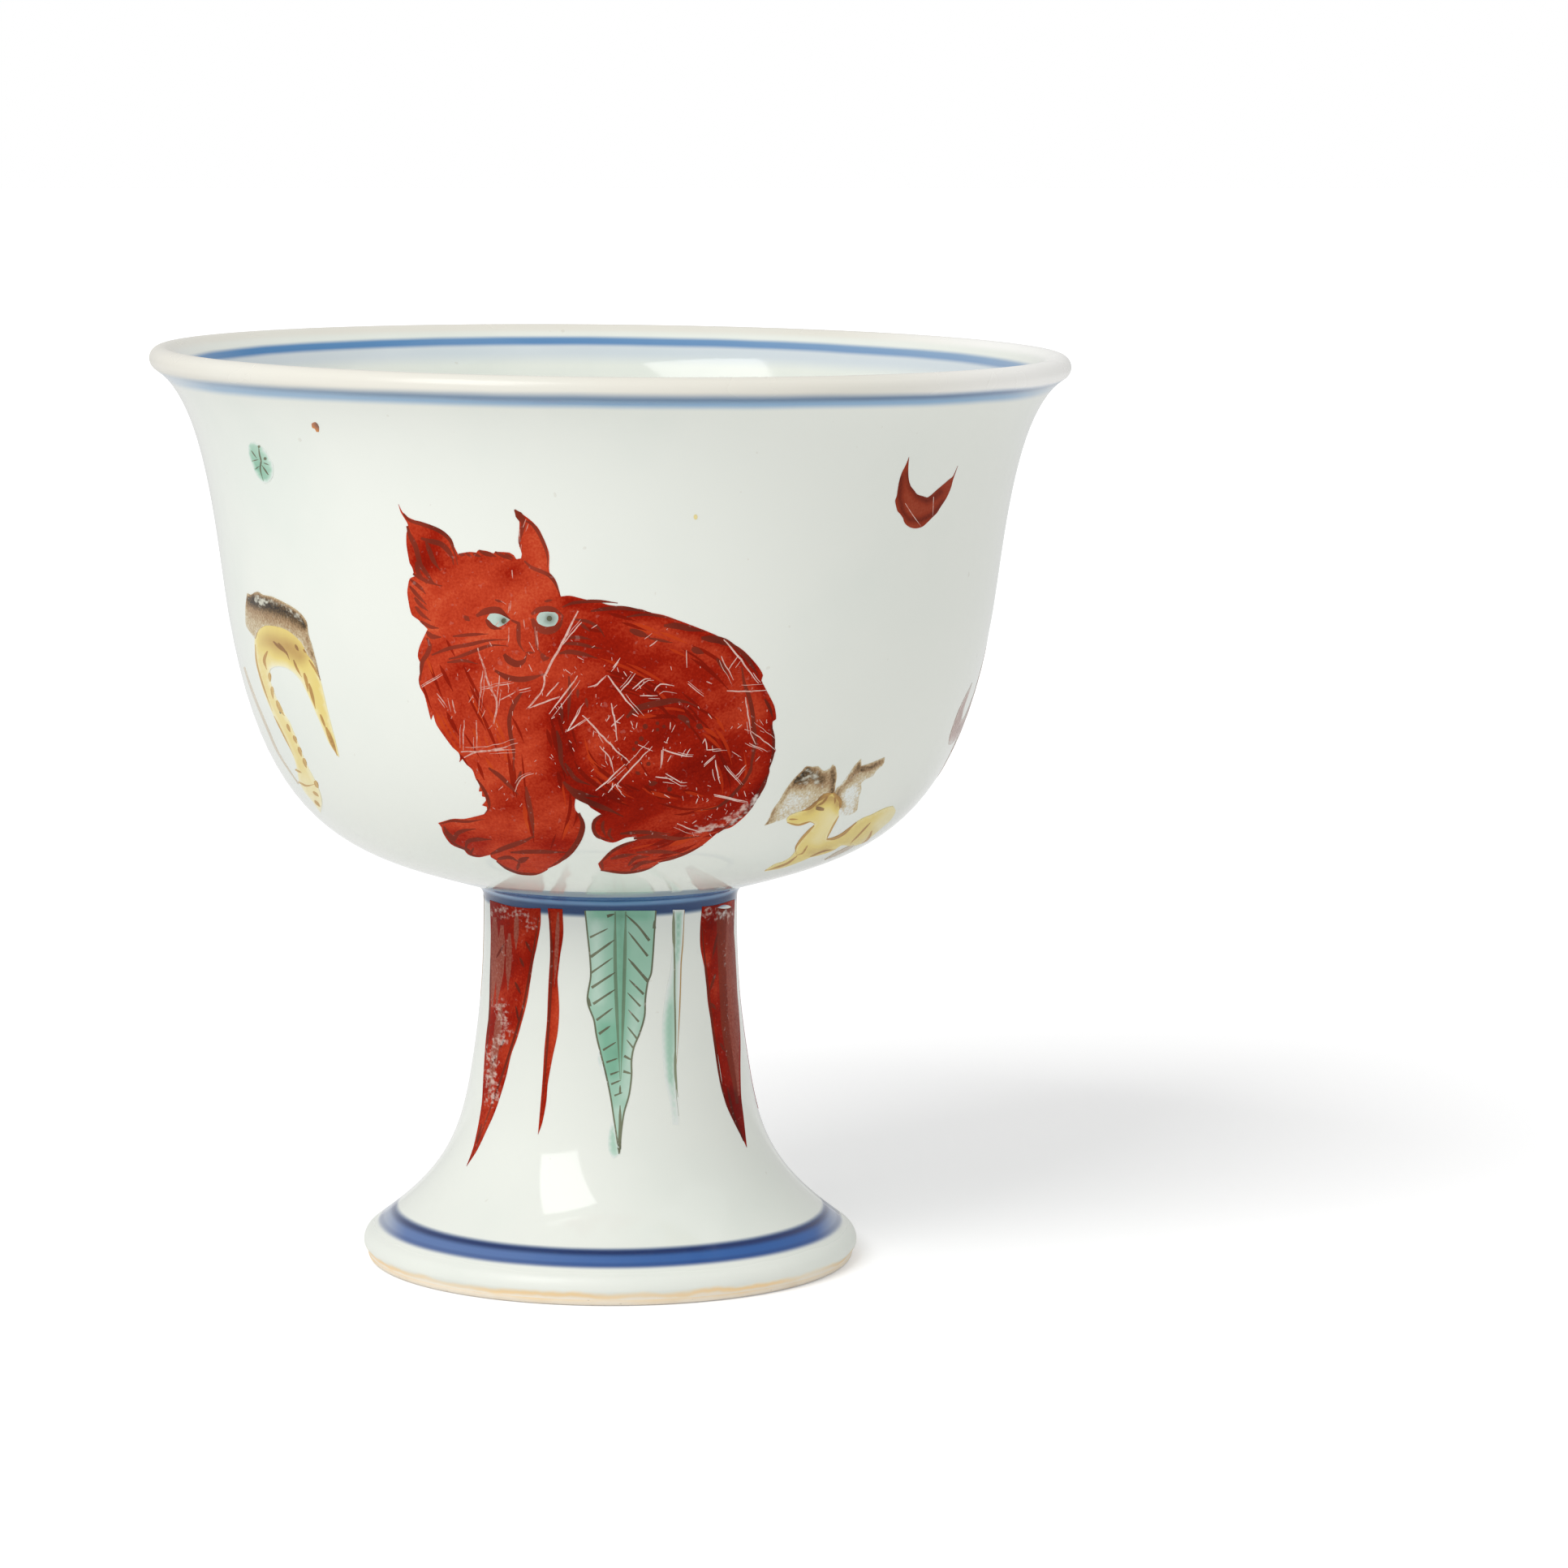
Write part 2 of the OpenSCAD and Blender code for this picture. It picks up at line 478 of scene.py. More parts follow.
class Sheet:
    """Node tree of one material or world, with short calls to add to it."""

    def __init__(self, name: str, world: bool = False) -> None:
        """Starts a material with a Principled shader, or a world with a Background."""
        self.material = (bpy.data.worlds if world else bpy.data.materials).new(name)
        self.material.use_nodes = True
        self.nodes = self.material.node_tree.nodes
        self.shader = self.nodes["Background" if world else "Principled BSDF"]

    def feed(self, socket: Socket, value: object) -> None:
        """Links a socket to another, or sets its value."""
        if isinstance(value, Socket):
            self.material.node_tree.links.new(value, socket)
        else:
            socket.default_value = value

    def add(self, kind: str, **settings: object) -> bpy.types.Node:
        """Adds a node of a kind with its settings."""
        node = self.nodes.new(kind)
        for key, value in settings.items():
            setattr(node, key, value)
        return node

    def fill(self, node: bpy.types.Node, **values: object) -> None:
        """Feeds inputs of a node, named with _ for spaces."""
        for key, value in values.items():
            self.feed(node.inputs[key.replace("_", " ")], value)

    def dress(self, **values: object) -> None:
        """Feeds inputs of the shader."""
        self.fill(self.shader, **values)

    def place(self) -> Socket:
        """Object coordinates."""
        return self.add("ShaderNodeTexCoord").outputs["Object"]

    def attribute(self, name: str) -> Socket:
        """Value of one of the mesh's own attributes."""
        return self.add("ShaderNodeAttribute", attribute_name=name).outputs["Fac"]

    def sum(
        self, operation: str, first: object, second: object = 0.0, third: object = None,
    ) -> Socket:
        """Result of a Math node."""
        node = self.add("ShaderNodeMath", operation=operation)
        self.feed(node.inputs[0], first)
        self.feed(node.inputs[1], second)
        if third is not None:
            self.feed(node.inputs[2], third)
        return node.outputs[0]

    def step(
        self, value: object, low: object, high: object, start: float = 0.0, end: float = 1.0,
    ) -> Socket:
        """Soft step of a value from start at low to end at high."""
        node = self.add("ShaderNodeMapRange", interpolation_type="SMOOTHSTEP")
        self.fill(node, Value=value, From_Min=low, From_Max=high, To_Min=start, To_Max=end)
        return node.outputs["Result"]

    def noise(
        self, scale: float, detail: float = 2.0, stretch: tuple[float, float, float] = (1, 1, 1),
        shift: float = 0.0, slant: float = 0.0,
    ) -> Socket:
        """Noise on Object coordinates.

        Args:
            scale: cells in a metre.
            detail: octaves.
            stretch: length of its cells along X, Y and Z.
            shift: offset that sets one noise apart from another.
            slant: turn of its cells about Y, in degrees.

        Returns:
            Its value from 0 to 1.
        """
        mapping = self.add("ShaderNodeMapping", vector_type="TEXTURE")
        turn, move = (0, math.radians(slant), 0), (shift, shift * 0.7, -shift)
        self.fill(mapping, Vector=self.place(), Scale=stretch, Rotation=turn, Location=move)
        node = self.add("ShaderNodeTexNoise")
        self.fill(node, Vector=mapping.outputs["Vector"], Scale=scale, Detail=detail)
        return node.outputs["Fac"]

    def mix(self, share: object, first: object, second: object, blend: str = "MIX") -> Socket:
        """Mixes two colours by a share."""
        node = self.add("ShaderNodeMix", data_type="RGBA", blend_type=blend)
        self.feed(node.inputs[0], share)
        self.feed(node.inputs[6], first)
        self.feed(node.inputs[7], second)
        return node.outputs[2]

    def ramp(self, value: object, stops: Sequence[tuple[float, Rgb]]) -> Socket:
        """Colour between stops."""
        node = self.add("ShaderNodeValToRGB")
        elements = node.color_ramp.elements
        while len(elements) < len(stops):
            elements.new(0.5)
        for element, (position, colour) in zip(elements, stops):
            element.position, element.color = position, linear(colour)
        self.feed(node.inputs["Fac"], value)
        return node.outputs["Color"]

    def bump(self, height: object, depth: float, strength: float = 1.0) -> None:
        """Feeds the shader's normal from a height of that depth in millimetres."""
        node = self.add("ShaderNodeBump")
        self.fill(node, Strength=strength, Distance=depth * MM, Height=height)
        self.dress(Normal=node.outputs["Normal"])


@dataclass(frozen=True)
class CobaltLine:
    """Line of cobalt blue under the glaze, drawn round the turning cup.

    It may sag towards the sides, load less at the left than at the right, and fade at its reach.
    """

    run: float
    half: float
    soft: float
    tint: Rgb
    wobble: float = 0.05
    fade: float = 0.35
    sag: float = 0.0
    lean: float = 0.0
    ends: float = 0.0
    reach: float = 37.0


@dataclass(frozen=True)
class GlazeFinish:
    """Clear glaze over white porcelain, with the cobalt lines that lie under it and painted light on the
    lip's right end.
    """

    name: str
    lines: tuple[CobaltLine, ...] = ()
    body: Rgb = (234, 237, 229)
    pooled: Rgb = (222, 229, 221)
    lip: Rgb = (228, 225, 214)
    # Painted light: a near-white colour that the lip crest takes towards its right end, and the span across
    # X, in millimetres, over which it comes in.
    lip_painted_light: Rgb = (253, 252, 248)
    lip_light_span: tuple[float, float] = (18.0, 37.0)
    flash: Rgb = (248, 214, 158)
    lip_runs: tuple[float, float] = (0.0, 0.0)
    lip_soft: float = 0.5
    speck: Rgb = (176, 160, 136)
    matt_z: tuple[float, float] = (2.2, 3.4)
    ragged: float = 1.1
    clay: Rgb = (243, 235, 220)
    flash_z: tuple[float, float] = (0.36, 0.8)
    clay_z: tuple[float, float] = (0.06, 0.36)
    roughness: float = 0.06

    def make(self) -> bpy.types.Material:
        """Builds the material."""
        sheet = Sheet(self.name)
        cloud = sheet.noise(55, 3)
        colour = sheet.mix(
            sheet.step(cloud, 0.42, 0.75, 0.0, 0.55), linear(self.body), linear(self.pooled)
        )
        rough = sheet.step(sheet.noise(240, 2, shift=4), 0.3, 0.8, self.roughness, self.roughness + 0.07)
        run = sheet.attribute("run")
        spot = sheet.add("ShaderNodeSeparateXYZ")
        sheet.feed(spot.inputs[0], sheet.place())
        across = spot.outputs["X"]
        if self.lip_runs[1] > self.lip_runs[0]:
            first, last = self.lip_runs
            rising = sheet.step(run, first - self.lip_soft, first + self.lip_soft)
            falling = sheet.step(run, last - self.lip_soft, last + self.lip_soft, 1, 0)
            crest = sheet.sum("MULTIPLY", rising, falling)
            patchy = sheet.step(sheet.noise(50, 3, shift=3), 0.25, 0.6, 0.8, 1.0)
            # Painted light: the crest is whitened towards the right end of the lip, standing in for brighter
            # light falling there.
            lit = sheet.step(across, *[x * MM for x in self.lip_light_span])
            lip = sheet.mix(lit, linear(self.lip), linear(self.lip_painted_light))
            colour = sheet.mix(sheet.sum("MULTIPLY", crest, patchy), colour, lip)
            rough = sheet.sum("MULTIPLY_ADD", crest, 0.16, rough)
        drift = sheet.sum("SUBTRACT", sheet.noise(90, 2, shift=1.7), 0.5)
        for i, line in enumerate(self.lines):
            side = sheet.sum("DIVIDE", across, line.reach * MM)
            bow = sheet.sum("MULTIPLY_ADD", sheet.sum("MULTIPLY", side, side), line.sag, -line.run)
            off = sheet.sum("ABSOLUTE", sheet.sum(
                "MULTIPLY_ADD", drift, line.wobble * 2, sheet.sum("ADD", run, bow)
            ))
            mask = sheet.step(off, line.half - line.soft, line.half + line.soft, 1, 0)
            load = sheet.step(sheet.noise(38, 2, shift=5.3 + i), 0.3, 0.7, 1 - line.fade, 1)
            load = sheet.sum("MULTIPLY", load, sheet.sum("MULTIPLY_ADD", side, line.lean, 1 - abs(line.lean)))
            kept = sheet.step(sheet.sum("ABSOLUTE", side), 0.86, 1.0, 1, 1 - line.ends)
            load = sheet.sum("MULTIPLY", load, kept)
            colour = sheet.mix(sheet.sum("MULTIPLY", mask, load), colour, linear(line.tint), "MULTIPLY")
        if self.lines:
            notch = sheet.noise(260, 3, shift=9)
            ragged = sheet.sum("MULTIPLY_ADD", notch, -self.ragged * MM, spot.outputs["Z"])
            edge = sheet.step(ragged, *[z * MM for z in self.flash_z], 0.95, 0)
            bare = sheet.step(sheet.noise(60, 3, shift=12), 0.35, 0.6, 0.3, 1)
            colour = sheet.mix(sheet.sum("MULTIPLY", edge, bare), colour, linear(self.flash))
            unglazed = sheet.step(ragged, *[z * MM for z in self.clay_z], 0.9, 0)
            colour = sheet.mix(unglazed, colour, linear(self.clay))
        speck = sheet.step(sheet.noise(1500, 0, shift=2), 0.87, 0.9, 0, 0.16)
        colour = sheet.mix(speck, colour, linear(self.speck))
        matt = sheet.step(spot.outputs["Z"], *[z * MM for z in self.matt_z], 0.3, 0)
        rough = sheet.sum("ADD", rough, matt)
        sheet.dress(Base_Color=colour, Roughness=rough, IOR=1.45)
        skin = sheet.sum("MULTIPLY_ADD", sheet.noise(900, 2, shift=6), 0.25, sheet.noise(120, 2, shift=7))
        sheet.bump(skin, 0.02, 0.2)
        return sheet.material


@dataclass(frozen=True)
class BiscuitFinish:
    """Bare fired clay, matt and a little stained, with the orange flash beside the glaze."""

    name: str
    clay: Rgb = (242, 233, 217)
    stain: Rgb = (234, 219, 196)
    flash: Rgb = (244, 214, 164)
    flash_z: float = 0.95

    def make(self) -> bpy.types.Material:
        """Builds the material."""
        sheet = Sheet(self.name)
        colour = sheet.mix(
            sheet.step(sheet.noise(240, 4), 0.45, 0.75, 0, 0.8), linear(self.clay), linear(self.stain)
        )
        height = sheet.add("ShaderNodeSeparateXYZ")
        sheet.feed(height.inputs[0], sheet.place())
        wander = sheet.sum("MULTIPLY_ADD", sheet.noise(170, 3, shift=2.2), 0.0009, height.outputs["Z"])
        edge = sheet.step(wander, (self.flash_z - 0.35) * MM, (self.flash_z + 0.3) * MM, 0, 0.85)
        patchy = sheet.step(sheet.noise(60, 3, shift=12), 0.35, 0.6, 0.35, 1)
        colour = sheet.mix(sheet.sum("MULTIPLY", edge, patchy), colour, linear(self.flash))
        grit = sheet.step(sheet.noise(2600, 1, shift=3.1), 0.72, 0.8, 0, 0.35)
        colour = sheet.mix(grit, colour, linear((150, 120, 90)))
        rough = sheet.step(sheet.noise(700, 2, shift=1), 0.3, 0.7, 0.6, 0.85)
        sheet.dress(Base_Color=colour, Roughness=rough, IOR=1.45)
        sheet.bump(sheet.noise(3200, 3, shift=5), 0.05, 0.5)
        return sheet.material


@dataclass(frozen=True)
class EnamelFinish:
    """Fired enamel over the glaze: its colours from thin to thick, its brush marks and its wear."""

    name: str
    stops: tuple[tuple[float, Rgb], ...]
    worn: Rgb = (214, 200, 192)
    streak: float = 0.25
    streak_scale: float = 420.0
    grain: float = 0.18
    pits: float = 0.0
    roughness: float = 0.2
    gloss: float = 0.14
    slant: float = 0.0
    stretch: float = 6.0
    fleck: float = 0.0

    def make(self) -> bpy.types.Material:
        """Builds the material."""
        sheet = Sheet(self.name)
        fibre = (1, 1, self.stretch)
        brush = sheet.sum("SUBTRACT", sheet.noise(self.streak_scale, 3, fibre, slant=self.slant), 0.5)
        cloud = sheet.sum("SUBTRACT", sheet.noise(130, 4, shift=2), 0.5)
        tone = sheet.sum("MULTIPLY_ADD", brush, self.streak * 2, sheet.attribute("tone"))
        tone = sheet.sum("MULTIPLY_ADD", cloud, self.grain * 2, tone)
        if self.fleck:
            dust = sheet.sum("SUBTRACT", sheet.noise(5200, 2, shift=11), 0.5)
            tone = sheet.sum("MULTIPLY_ADD", dust, self.fleck * 2, tone)
        colour = sheet.ramp(tone, self.stops)
        wear = sheet.attribute("wear")
        flake = sheet.noise(2800, 5, (1.5, 1.5, 1), shift=4)
        bare = sheet.step(sheet.sum("ADD", flake, wear), 0.94, 1.24)
        colour = sheet.mix(bare, colour, linear(self.worn))
        if self.pits:
            pit = sheet.step(sheet.noise(2100, 3, shift=8), 0.64, 0.7, 0, self.pits)
            colour = sheet.mix(pit, colour, linear(self.worn))
        rough = sheet.step(sheet.noise(600, 2, shift=6), 0.25, 0.75, self.roughness, self.roughness + 0.14)
        sheet.dress(Base_Color=colour, Roughness=rough, IOR=1.52, Specular_IOR_Level=self.gloss)
        sheet.bump(sheet.noise(1400, 3, (1, 1, 2.5), shift=9), 0.02, 0.35)
        return sheet.material


GLAZE_TINT: Rgb = (229, 233, 228)


class Paint(Enum):
    """Enamels of the painter's palette."""

    RED = EnamelFinish(
        "iron_red", ((0, (220, 104, 66)), (0.35, (192, 65, 37)), (0.65, (155, 28, 8)), (1, (114, 10, 2))),
        worn=(208, 176, 164), streak=0.4, grain=0.34, fleck=0.22, pits=0.1, gloss=0.03, slant=60.0,
    )
    RED_DEEP = EnamelFinish(
        "iron_red_deep", ((0, (170, 48, 22)), (0.5, (138, 26, 8)), (1, (104, 12, 4))),
        streak=0.3, grain=0.3, gloss=0.03, slant=60.0,
    )
    RED_PALE = EnamelFinish(
        "iron_red_pale", ((0, (216, 96, 46)), (0.5, (188, 58, 22)), (1, (156, 32, 8))),
        streak=0.3, grain=0.3, gloss=0.03, slant=60.0,
    )
    RED_DULL = EnamelFinish(
        "iron_red_dull", ((0, (186, 96, 70)), (0.5, (150, 58, 36)), (1, (100, 34, 24))),
        streak=0.12, grain=0.2, fleck=0.15, gloss=0.03, slant=60.0,
    )
    # Thin enamel mixed with painted reflection: a brownish, greyish red laid where the glossy stem shows a
    # hazy sheen over its red leaves.
    RED_VEIL = EnamelFinish(
        "iron_red_thin_and_reflection", ((0, (196, 138, 122)), (0.5, (162, 92, 76)), (1, (136, 50, 36))),
        worn=(208, 176, 164), streak=0.35, grain=0.3, fleck=0.5, gloss=0.03,
    )
    RED_LINE = EnamelFinish(
        "iron_red_line", ((0, (160, 64, 46)), (0.5, (126, 46, 31)), (1, (90, 28, 20))),
        streak=0.3, grain=0.3, pits=0.12, gloss=0.03,
    )
    SCRATCH = EnamelFinish(
        "scratched_red",
        ((0, (170, 52, 28)), (0.25, (190, 100, 80)), (0.5, (212, 170, 158)), (1, (230, 214, 206))),
        streak=0.35, streak_scale=3600.0, stretch=1.0, grain=0.3, roughness=0.35, gloss=0.05,
    )
    EYE = EnamelFinish(
        "pale_turquoise", ((0.3, (194, 212, 202)), (0.6, (172, 190, 180)), (1, (92, 94, 82))),
        streak=0.05, grain=0.06,
    )
    GREEN = EnamelFinish(
        "leaf_green",
        ((0, GLAZE_TINT), (0.3, (186, 214, 197)), (0.65, (130, 183, 156)), (1, (84, 134, 104))),
        streak=0.05, grain=0.2, roughness=0.08, gloss=0.35,
    )
    GREEN_RIB = EnamelFinish("leaf_rib", ((0, (156, 184, 156)), (1, (84, 112, 86))), grain=0.4)
    GREEN_LINE = EnamelFinish("leaf_outline", ((0, (140, 146, 120)), (1, (62, 62, 46))), grain=0.4, pits=0.3)
    YELLOW = EnamelFinish(
        "straw_yellow",
        ((0, GLAZE_TINT), (0.3, (238, 228, 178)), (0.6, (228, 206, 118)), (1, (180, 138, 72))),
        streak=0.06, grain=0.16, roughness=0.08, gloss=0.35,
    )
    TAWNY = EnamelFinish(
        "tawny_wash", ((0, (218, 190, 124)), (0.5, (188, 146, 84)), (1, (140, 102, 62))), grain=0.3,
    )
    YELLOW_LINE = EnamelFinish("tawny_outline", ((0, (178, 146, 98)), (1, (120, 90, 60))), grain=0.3)
    BROWN = EnamelFinish(
        "brown_black",
        (
            (0, GLAZE_TINT), (0.25, (204, 188, 154)), (0.5, (166, 136, 100)), (0.75, (104, 82, 54)),
            (1, (44, 36, 26)),
        ),
        worn=(206, 204, 188), streak=0.1, grain=0.32, fleck=0.3, pits=0.3, roughness=0.16,
    )
    AUBERGINE = EnamelFinish(
        "pale_aubergine",
        ((0, GLAZE_TINT), (0.3, (200, 180, 172)), (0.6, (150, 118, 108)), (1, (88, 64, 58))),
        streak=0.12, grain=0.3, fleck=0.2, pits=0.2,
    )
    TRACE = EnamelFinish("faded_outline", ((0, (220, 212, 196)), (1, (184, 166, 144))), grain=0.3)
    DOT = EnamelFinish("rust_speck", ((0, (224, 150, 66)), (0.5, (180, 120, 90)), (1, (96, 84, 74))))


class PaintBox:
    """Materials of the palette, each made once."""

    def __init__(self) -> None:
        """Starts with nothing made."""
        self.made: dict[Paint, bpy.types.Material] = {}

    def take(self, paint: Paint) -> bpy.types.Material:
        """Material of a paint."""
        if paint not in self.made:
            self.made[paint] = paint.value.make()
        return self.made[paint]


def only(piece: Piece) -> None:
    """Selects one object alone and makes it active."""
    bpy.ops.object.select_all(action="DESELECT")
    piece.select_set(True)
    bpy.context.view_layer.objects.active = piece


def turned(name: str, section: Sequence[Vector], steps: int = 160) -> Piece:
    """Piece turned about the axis of the cup.

    Args:
        name: name of the piece.
        section: its closed half section, in millimetres.
        steps: segments round the axis.

    Returns:
        The piece, closed and smooth.
    """
    bpy.ops.object.select_all(action="DESELECT")
    bpy.ops.mesh.primitive_circle_add(vertices=len(section), radius=1, fill_type="NOTHING")
    piece = bpy.context.object
    piece.name = piece.data.name = name
    for vertex, place in zip(piece.data.vertices, section):
        vertex.co = (place.x * MM, 0, place.y * MM)
    bpy.ops.object.mode_set(mode="EDIT")
    bpy.ops.mesh.select_all(action="SELECT")
    bpy.ops.mesh.spin(steps=steps, angle=math.tau, center=(0, 0, 0), axis=(0, 0, 1))
    bpy.ops.mesh.select_all(action="SELECT")
    bpy.ops.mesh.remove_doubles(threshold=2e-6)
    bpy.ops.mesh.delete_loose(use_verts=True, use_edges=True, use_faces=False)
    bpy.ops.mesh.select_all(action="SELECT")
    bpy.ops.mesh.normals_make_consistent(inside=False)
    bpy.ops.object.mode_set(mode="OBJECT")
    bpy.ops.object.shade_smooth_by_angle(angle=math.radians(50))
    return piece


def finish(piece: Piece, slot: str, *replaced: str) -> Piece:
    """Hands a piece to the frame.

    Args:
        piece: the finished piece.
        slot: its material slot in the record.
        replaced: CAD nodes that it stands for.

    Returns:
        The same piece.
    """
    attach(piece, ROOT)
    if replaced:
        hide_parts(*replaced)
    log.info("%s: %d faces, slot %s", piece.name, len(piece.data.polygons), slot)
    return piece


@dataclass
class CupBody:
    """Thrown bowl and stem, the slip that joins them, and the glaze over them."""

    surface: CupSurface
    inner_line_z: float = 76.8
    lip_rows: tuple[float, float] = (488.3, 502.3)
    lip_dark_px: float = 7.0
    collar_rows: tuple[float, ...] = (1099.5, 1106, 1111.5, 1116, 1129)
    band_rows: tuple[float, ...] = (1539.5, 1547, 1556.5, 1562.5)
    lip_over: tuple[float, float] = (0.2, 0.8)
    glaze_rise: float = 0.05
    lining_sides: int = 96
    off_run: float = -9.0

    @property
    def profile(self) -> CupProfile:
        """Half section of the cup."""
        return self.surface.profile

    def settle(self, piece: Piece) -> None:
        """Gives a turned piece the dip of the fired lip."""
        for vertex in piece.data.vertices:
            vertex.co = self.surface.settled(vertex.co / MM) * MM

    def mark_runs(self, piece: Piece) -> None:
        """Stores at each vertex its length along the glazed section, in millimetres."""
        tree = KDTree(len(self.profile.covered))
        for i, station in enumerate(self.profile.covered):
            tree.insert((station.at.x, station.at.y, 0), i)
        tree.balance()
        runs = piece.data.attributes.new("run", "FLOAT", "POINT")
        for vertex in piece.data.vertices:
            x, y, z = vertex.co / MM
            runs.data[vertex.index].value = self.profile.runs[tree.find((math.hypot(x, y), z, 0))[1]]

    def between(self, top: float, bottom: float, soft: float, tint: Rgb, **more: float) -> CobaltLine:
        """Line between two rows of the photograph, at the front of the cup.

        Args:
            top: its upper row.
            bottom: its lower row.
            soft: how far its edges spread, in millimetres.
            tint: colour that it lays over the white.
            more: other fields of the line.

        Returns:
            The line.
        """
        axis = self.surface.camera.axis_px
        high, low = (self.profile.run_at(self.surface.seen_at((axis, row))[1]) for row in (top, bottom))
        return CobaltLine((low + high) / 2, abs(high - low) / 2, soft, tint, **more)

    def cobalt(self) -> tuple[CobaltLine, ...]:
        """Blue lines: under the lip outside and inside, on the collar, and on the foot."""
        rows, band, lip = self.collar_rows, self.band_rows, self.lip_rows
        inner = self.profile.run_at(self.inner_line_z, True)
        return (
            self.between(band[0], band[3], 0.3, (14, 92, 178), fade=0.06, lean=0.05, ends=0.4, reach=20.0),
            self.between(band[0], band[1], 0.3, (70, 104, 146), fade=0.1, ends=0.5, reach=20.0),
            self.between(band[2], band[3], 0.16, (214, 216, 226), fade=0.3),
            self.between(rows[0], rows[1], 0.2, (200, 212, 220), fade=0.2),
            self.between(rows[1], rows[4], 0.26, (112, 152, 202), fade=0.1),
            self.between(rows[1], rows[2], 0.16, (140, 160, 188), fade=0.2),
            self.between(rows[3], rows[4], 0.24, (80, 116, 152), fade=0.1),
            self.between(*lip, 0.45, (137, 182, 230), wobble=0.12, fade=0.06, sag=0.63, lean=0.08, ends=0.4),
            self.between(
                lip[0], lip[0] + self.lip_dark_px, 0.42, (148, 158, 178), wobble=0.12, fade=0.2, sag=0.63,
                lean=0.35, ends=0.4,
            ),
            CobaltLine(inner, 0.48, 0.3, (39, 132, 203), wobble=0.1, fade=0.05, sag=-0.31, lean=-0.14),
            CobaltLine(inner + 1.1, 0.9, 0.8, (229, 235, 249), wobble=0.1, fade=0.1, sag=-0.31),
        )

    def build_glaze(self) -> Piece:
        """Skin of clear glaze from the foot over the lip to the floor of the bowl."""
        p = self.profile
        low, clay_foot_r = p.foot_edge_r + self.glaze_rise, p.foot_r - p.glaze_t
        edge = [
            Vector((clay_foot_r + p.glaze_t * smoothstep(0, 1, t), low + (p.foot_wide_h - low) * t))
            for t in (i / p.short_steps for i in range(p.short_steps))
        ]
        outer = [s.at for s in p.covered]
        inner = [s.at + p.glaze_t * s.into for s in p.covered]
        skin = turned("glaze_skin", edge + outer + inner[::-1])
        self.mark_runs(skin)
        self.settle(skin)
        first = len(p.outside)
        last = first + len(p.lip) - 1
        lip = (p.runs[first] - self.lip_over[0], p.runs[last] + self.lip_over[1])
        skin.data.materials.append(GlazeFinish("glaze_over_cobalt", self.cobalt(), lip_runs=lip).make())
        return finish(skin, "clear_glaze", "glaze_coat")

    def build_clay(self, biscuit: bpy.types.Material) -> list[Piece]:
        """Bowl and stem of fired clay under the glaze."""
        p = self.profile
        spigot_z, seat_z = p.stem_h - p.spigot_l, p.stem_h + p.slip_t
        spigot_r = p.bore_r - p.slip_t
        bowl_side = (p.collar[:-1] + p.underside[:-1] + p.wall[:-1] + p.lip + p.inside)
        bowl = turned("bowl_clay", [
            Vector((0, spigot_z)), Vector((spigot_r, spigot_z)), Vector((spigot_r, seat_z)),
            *[s.at + p.glaze_t * s.into for s in bowl_side],
        ])
        self.settle(bowl)
        edge = round_at(Vector((p.stand_r, p.foot_edge_r)), p.foot_edge_r, -90, 0, p.short_steps, -1)
        stem = turned("stem_clay", [
            Vector((p.stand_r - p.ring_w, 0)),
            *[s.at for s in edge],
            *[s.at + p.glaze_t * s.into for s in p.roll[:-1] + p.flare[:-1] + p.shaft],
            Vector((p.bore_r, p.stem_h)), Vector((p.bore_r, p.socket_z)),
            *p.hollow(),
        ])
        for piece in (bowl, stem):
            piece.data.materials.append(biscuit)
        return [finish(bowl, "porcelain_body", "bowl"), finish(stem, "porcelain_body", "stem")]

    def build_lining(self) -> Piece:
        """Glaze inside the hollow stem, across the bead of slip."""
        p = self.profile
        spigot_z = p.stem_h - p.spigot_l
        centre = Vector((p.bore_r, spigot_z))
        corner = math.degrees(math.asin(p.lining_t / (p.bead_r + p.lining_t)))
        bead = round_at(centre, p.bead_r, 180, 270, p.short_steps, -1)
        face = round_at(centre, p.bead_r + p.lining_t, 180 + corner, 270 - corner, p.short_steps, -1)
        lined = [(a, b) for a, b in zip(p.hollow(), p.hollow_into()) if a.y > p.lining_line]
        clay = [
            Vector((0, spigot_z)), *[s.at for s in bead], Vector((p.bore_r, p.socket_z)),
            *[a for a, _ in lined],
        ]
        air = [
            Vector((0, spigot_z - p.lining_t)), *[s.at for s in face],
            Vector((p.bore_r - p.lining_t, p.socket_z)),
            *[a - p.lining_t * b for a, b in lined[:-1]],
        ]
        lining = turned("hollow_lining", clay + air[::-1], self.lining_sides)
        runs = lining.data.attributes.new("run", "FLOAT", "POINT")
        runs.data.foreach_set("value", [self.off_run] * len(lining.data.vertices))
        lining.data.materials.append(GlazeFinish("lining_glaze", pooled=(206, 216, 210)).make())
        return finish(lining, "clear_glaze", "stem_lining")

    def dress_slip(self) -> None:
        """Gives the CAD slip a bare clay finish."""
        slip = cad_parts["luting_slip"]
        slip.data.materials.clear()
        slip.data.materials.append(BiscuitFinish("slip_clay", clay=(214, 202, 182), flash_z=60.0).make())
        log.info("luting_slip: CAD node, bare slip finish")

    def build(self) -> None:
        """Builds and dresses every turned piece."""
        biscuit = BiscuitFinish("bare_biscuit").make()
        self.build_clay(biscuit)
        self.build_lining()
        self.build_glaze()
        self.dress_slip()


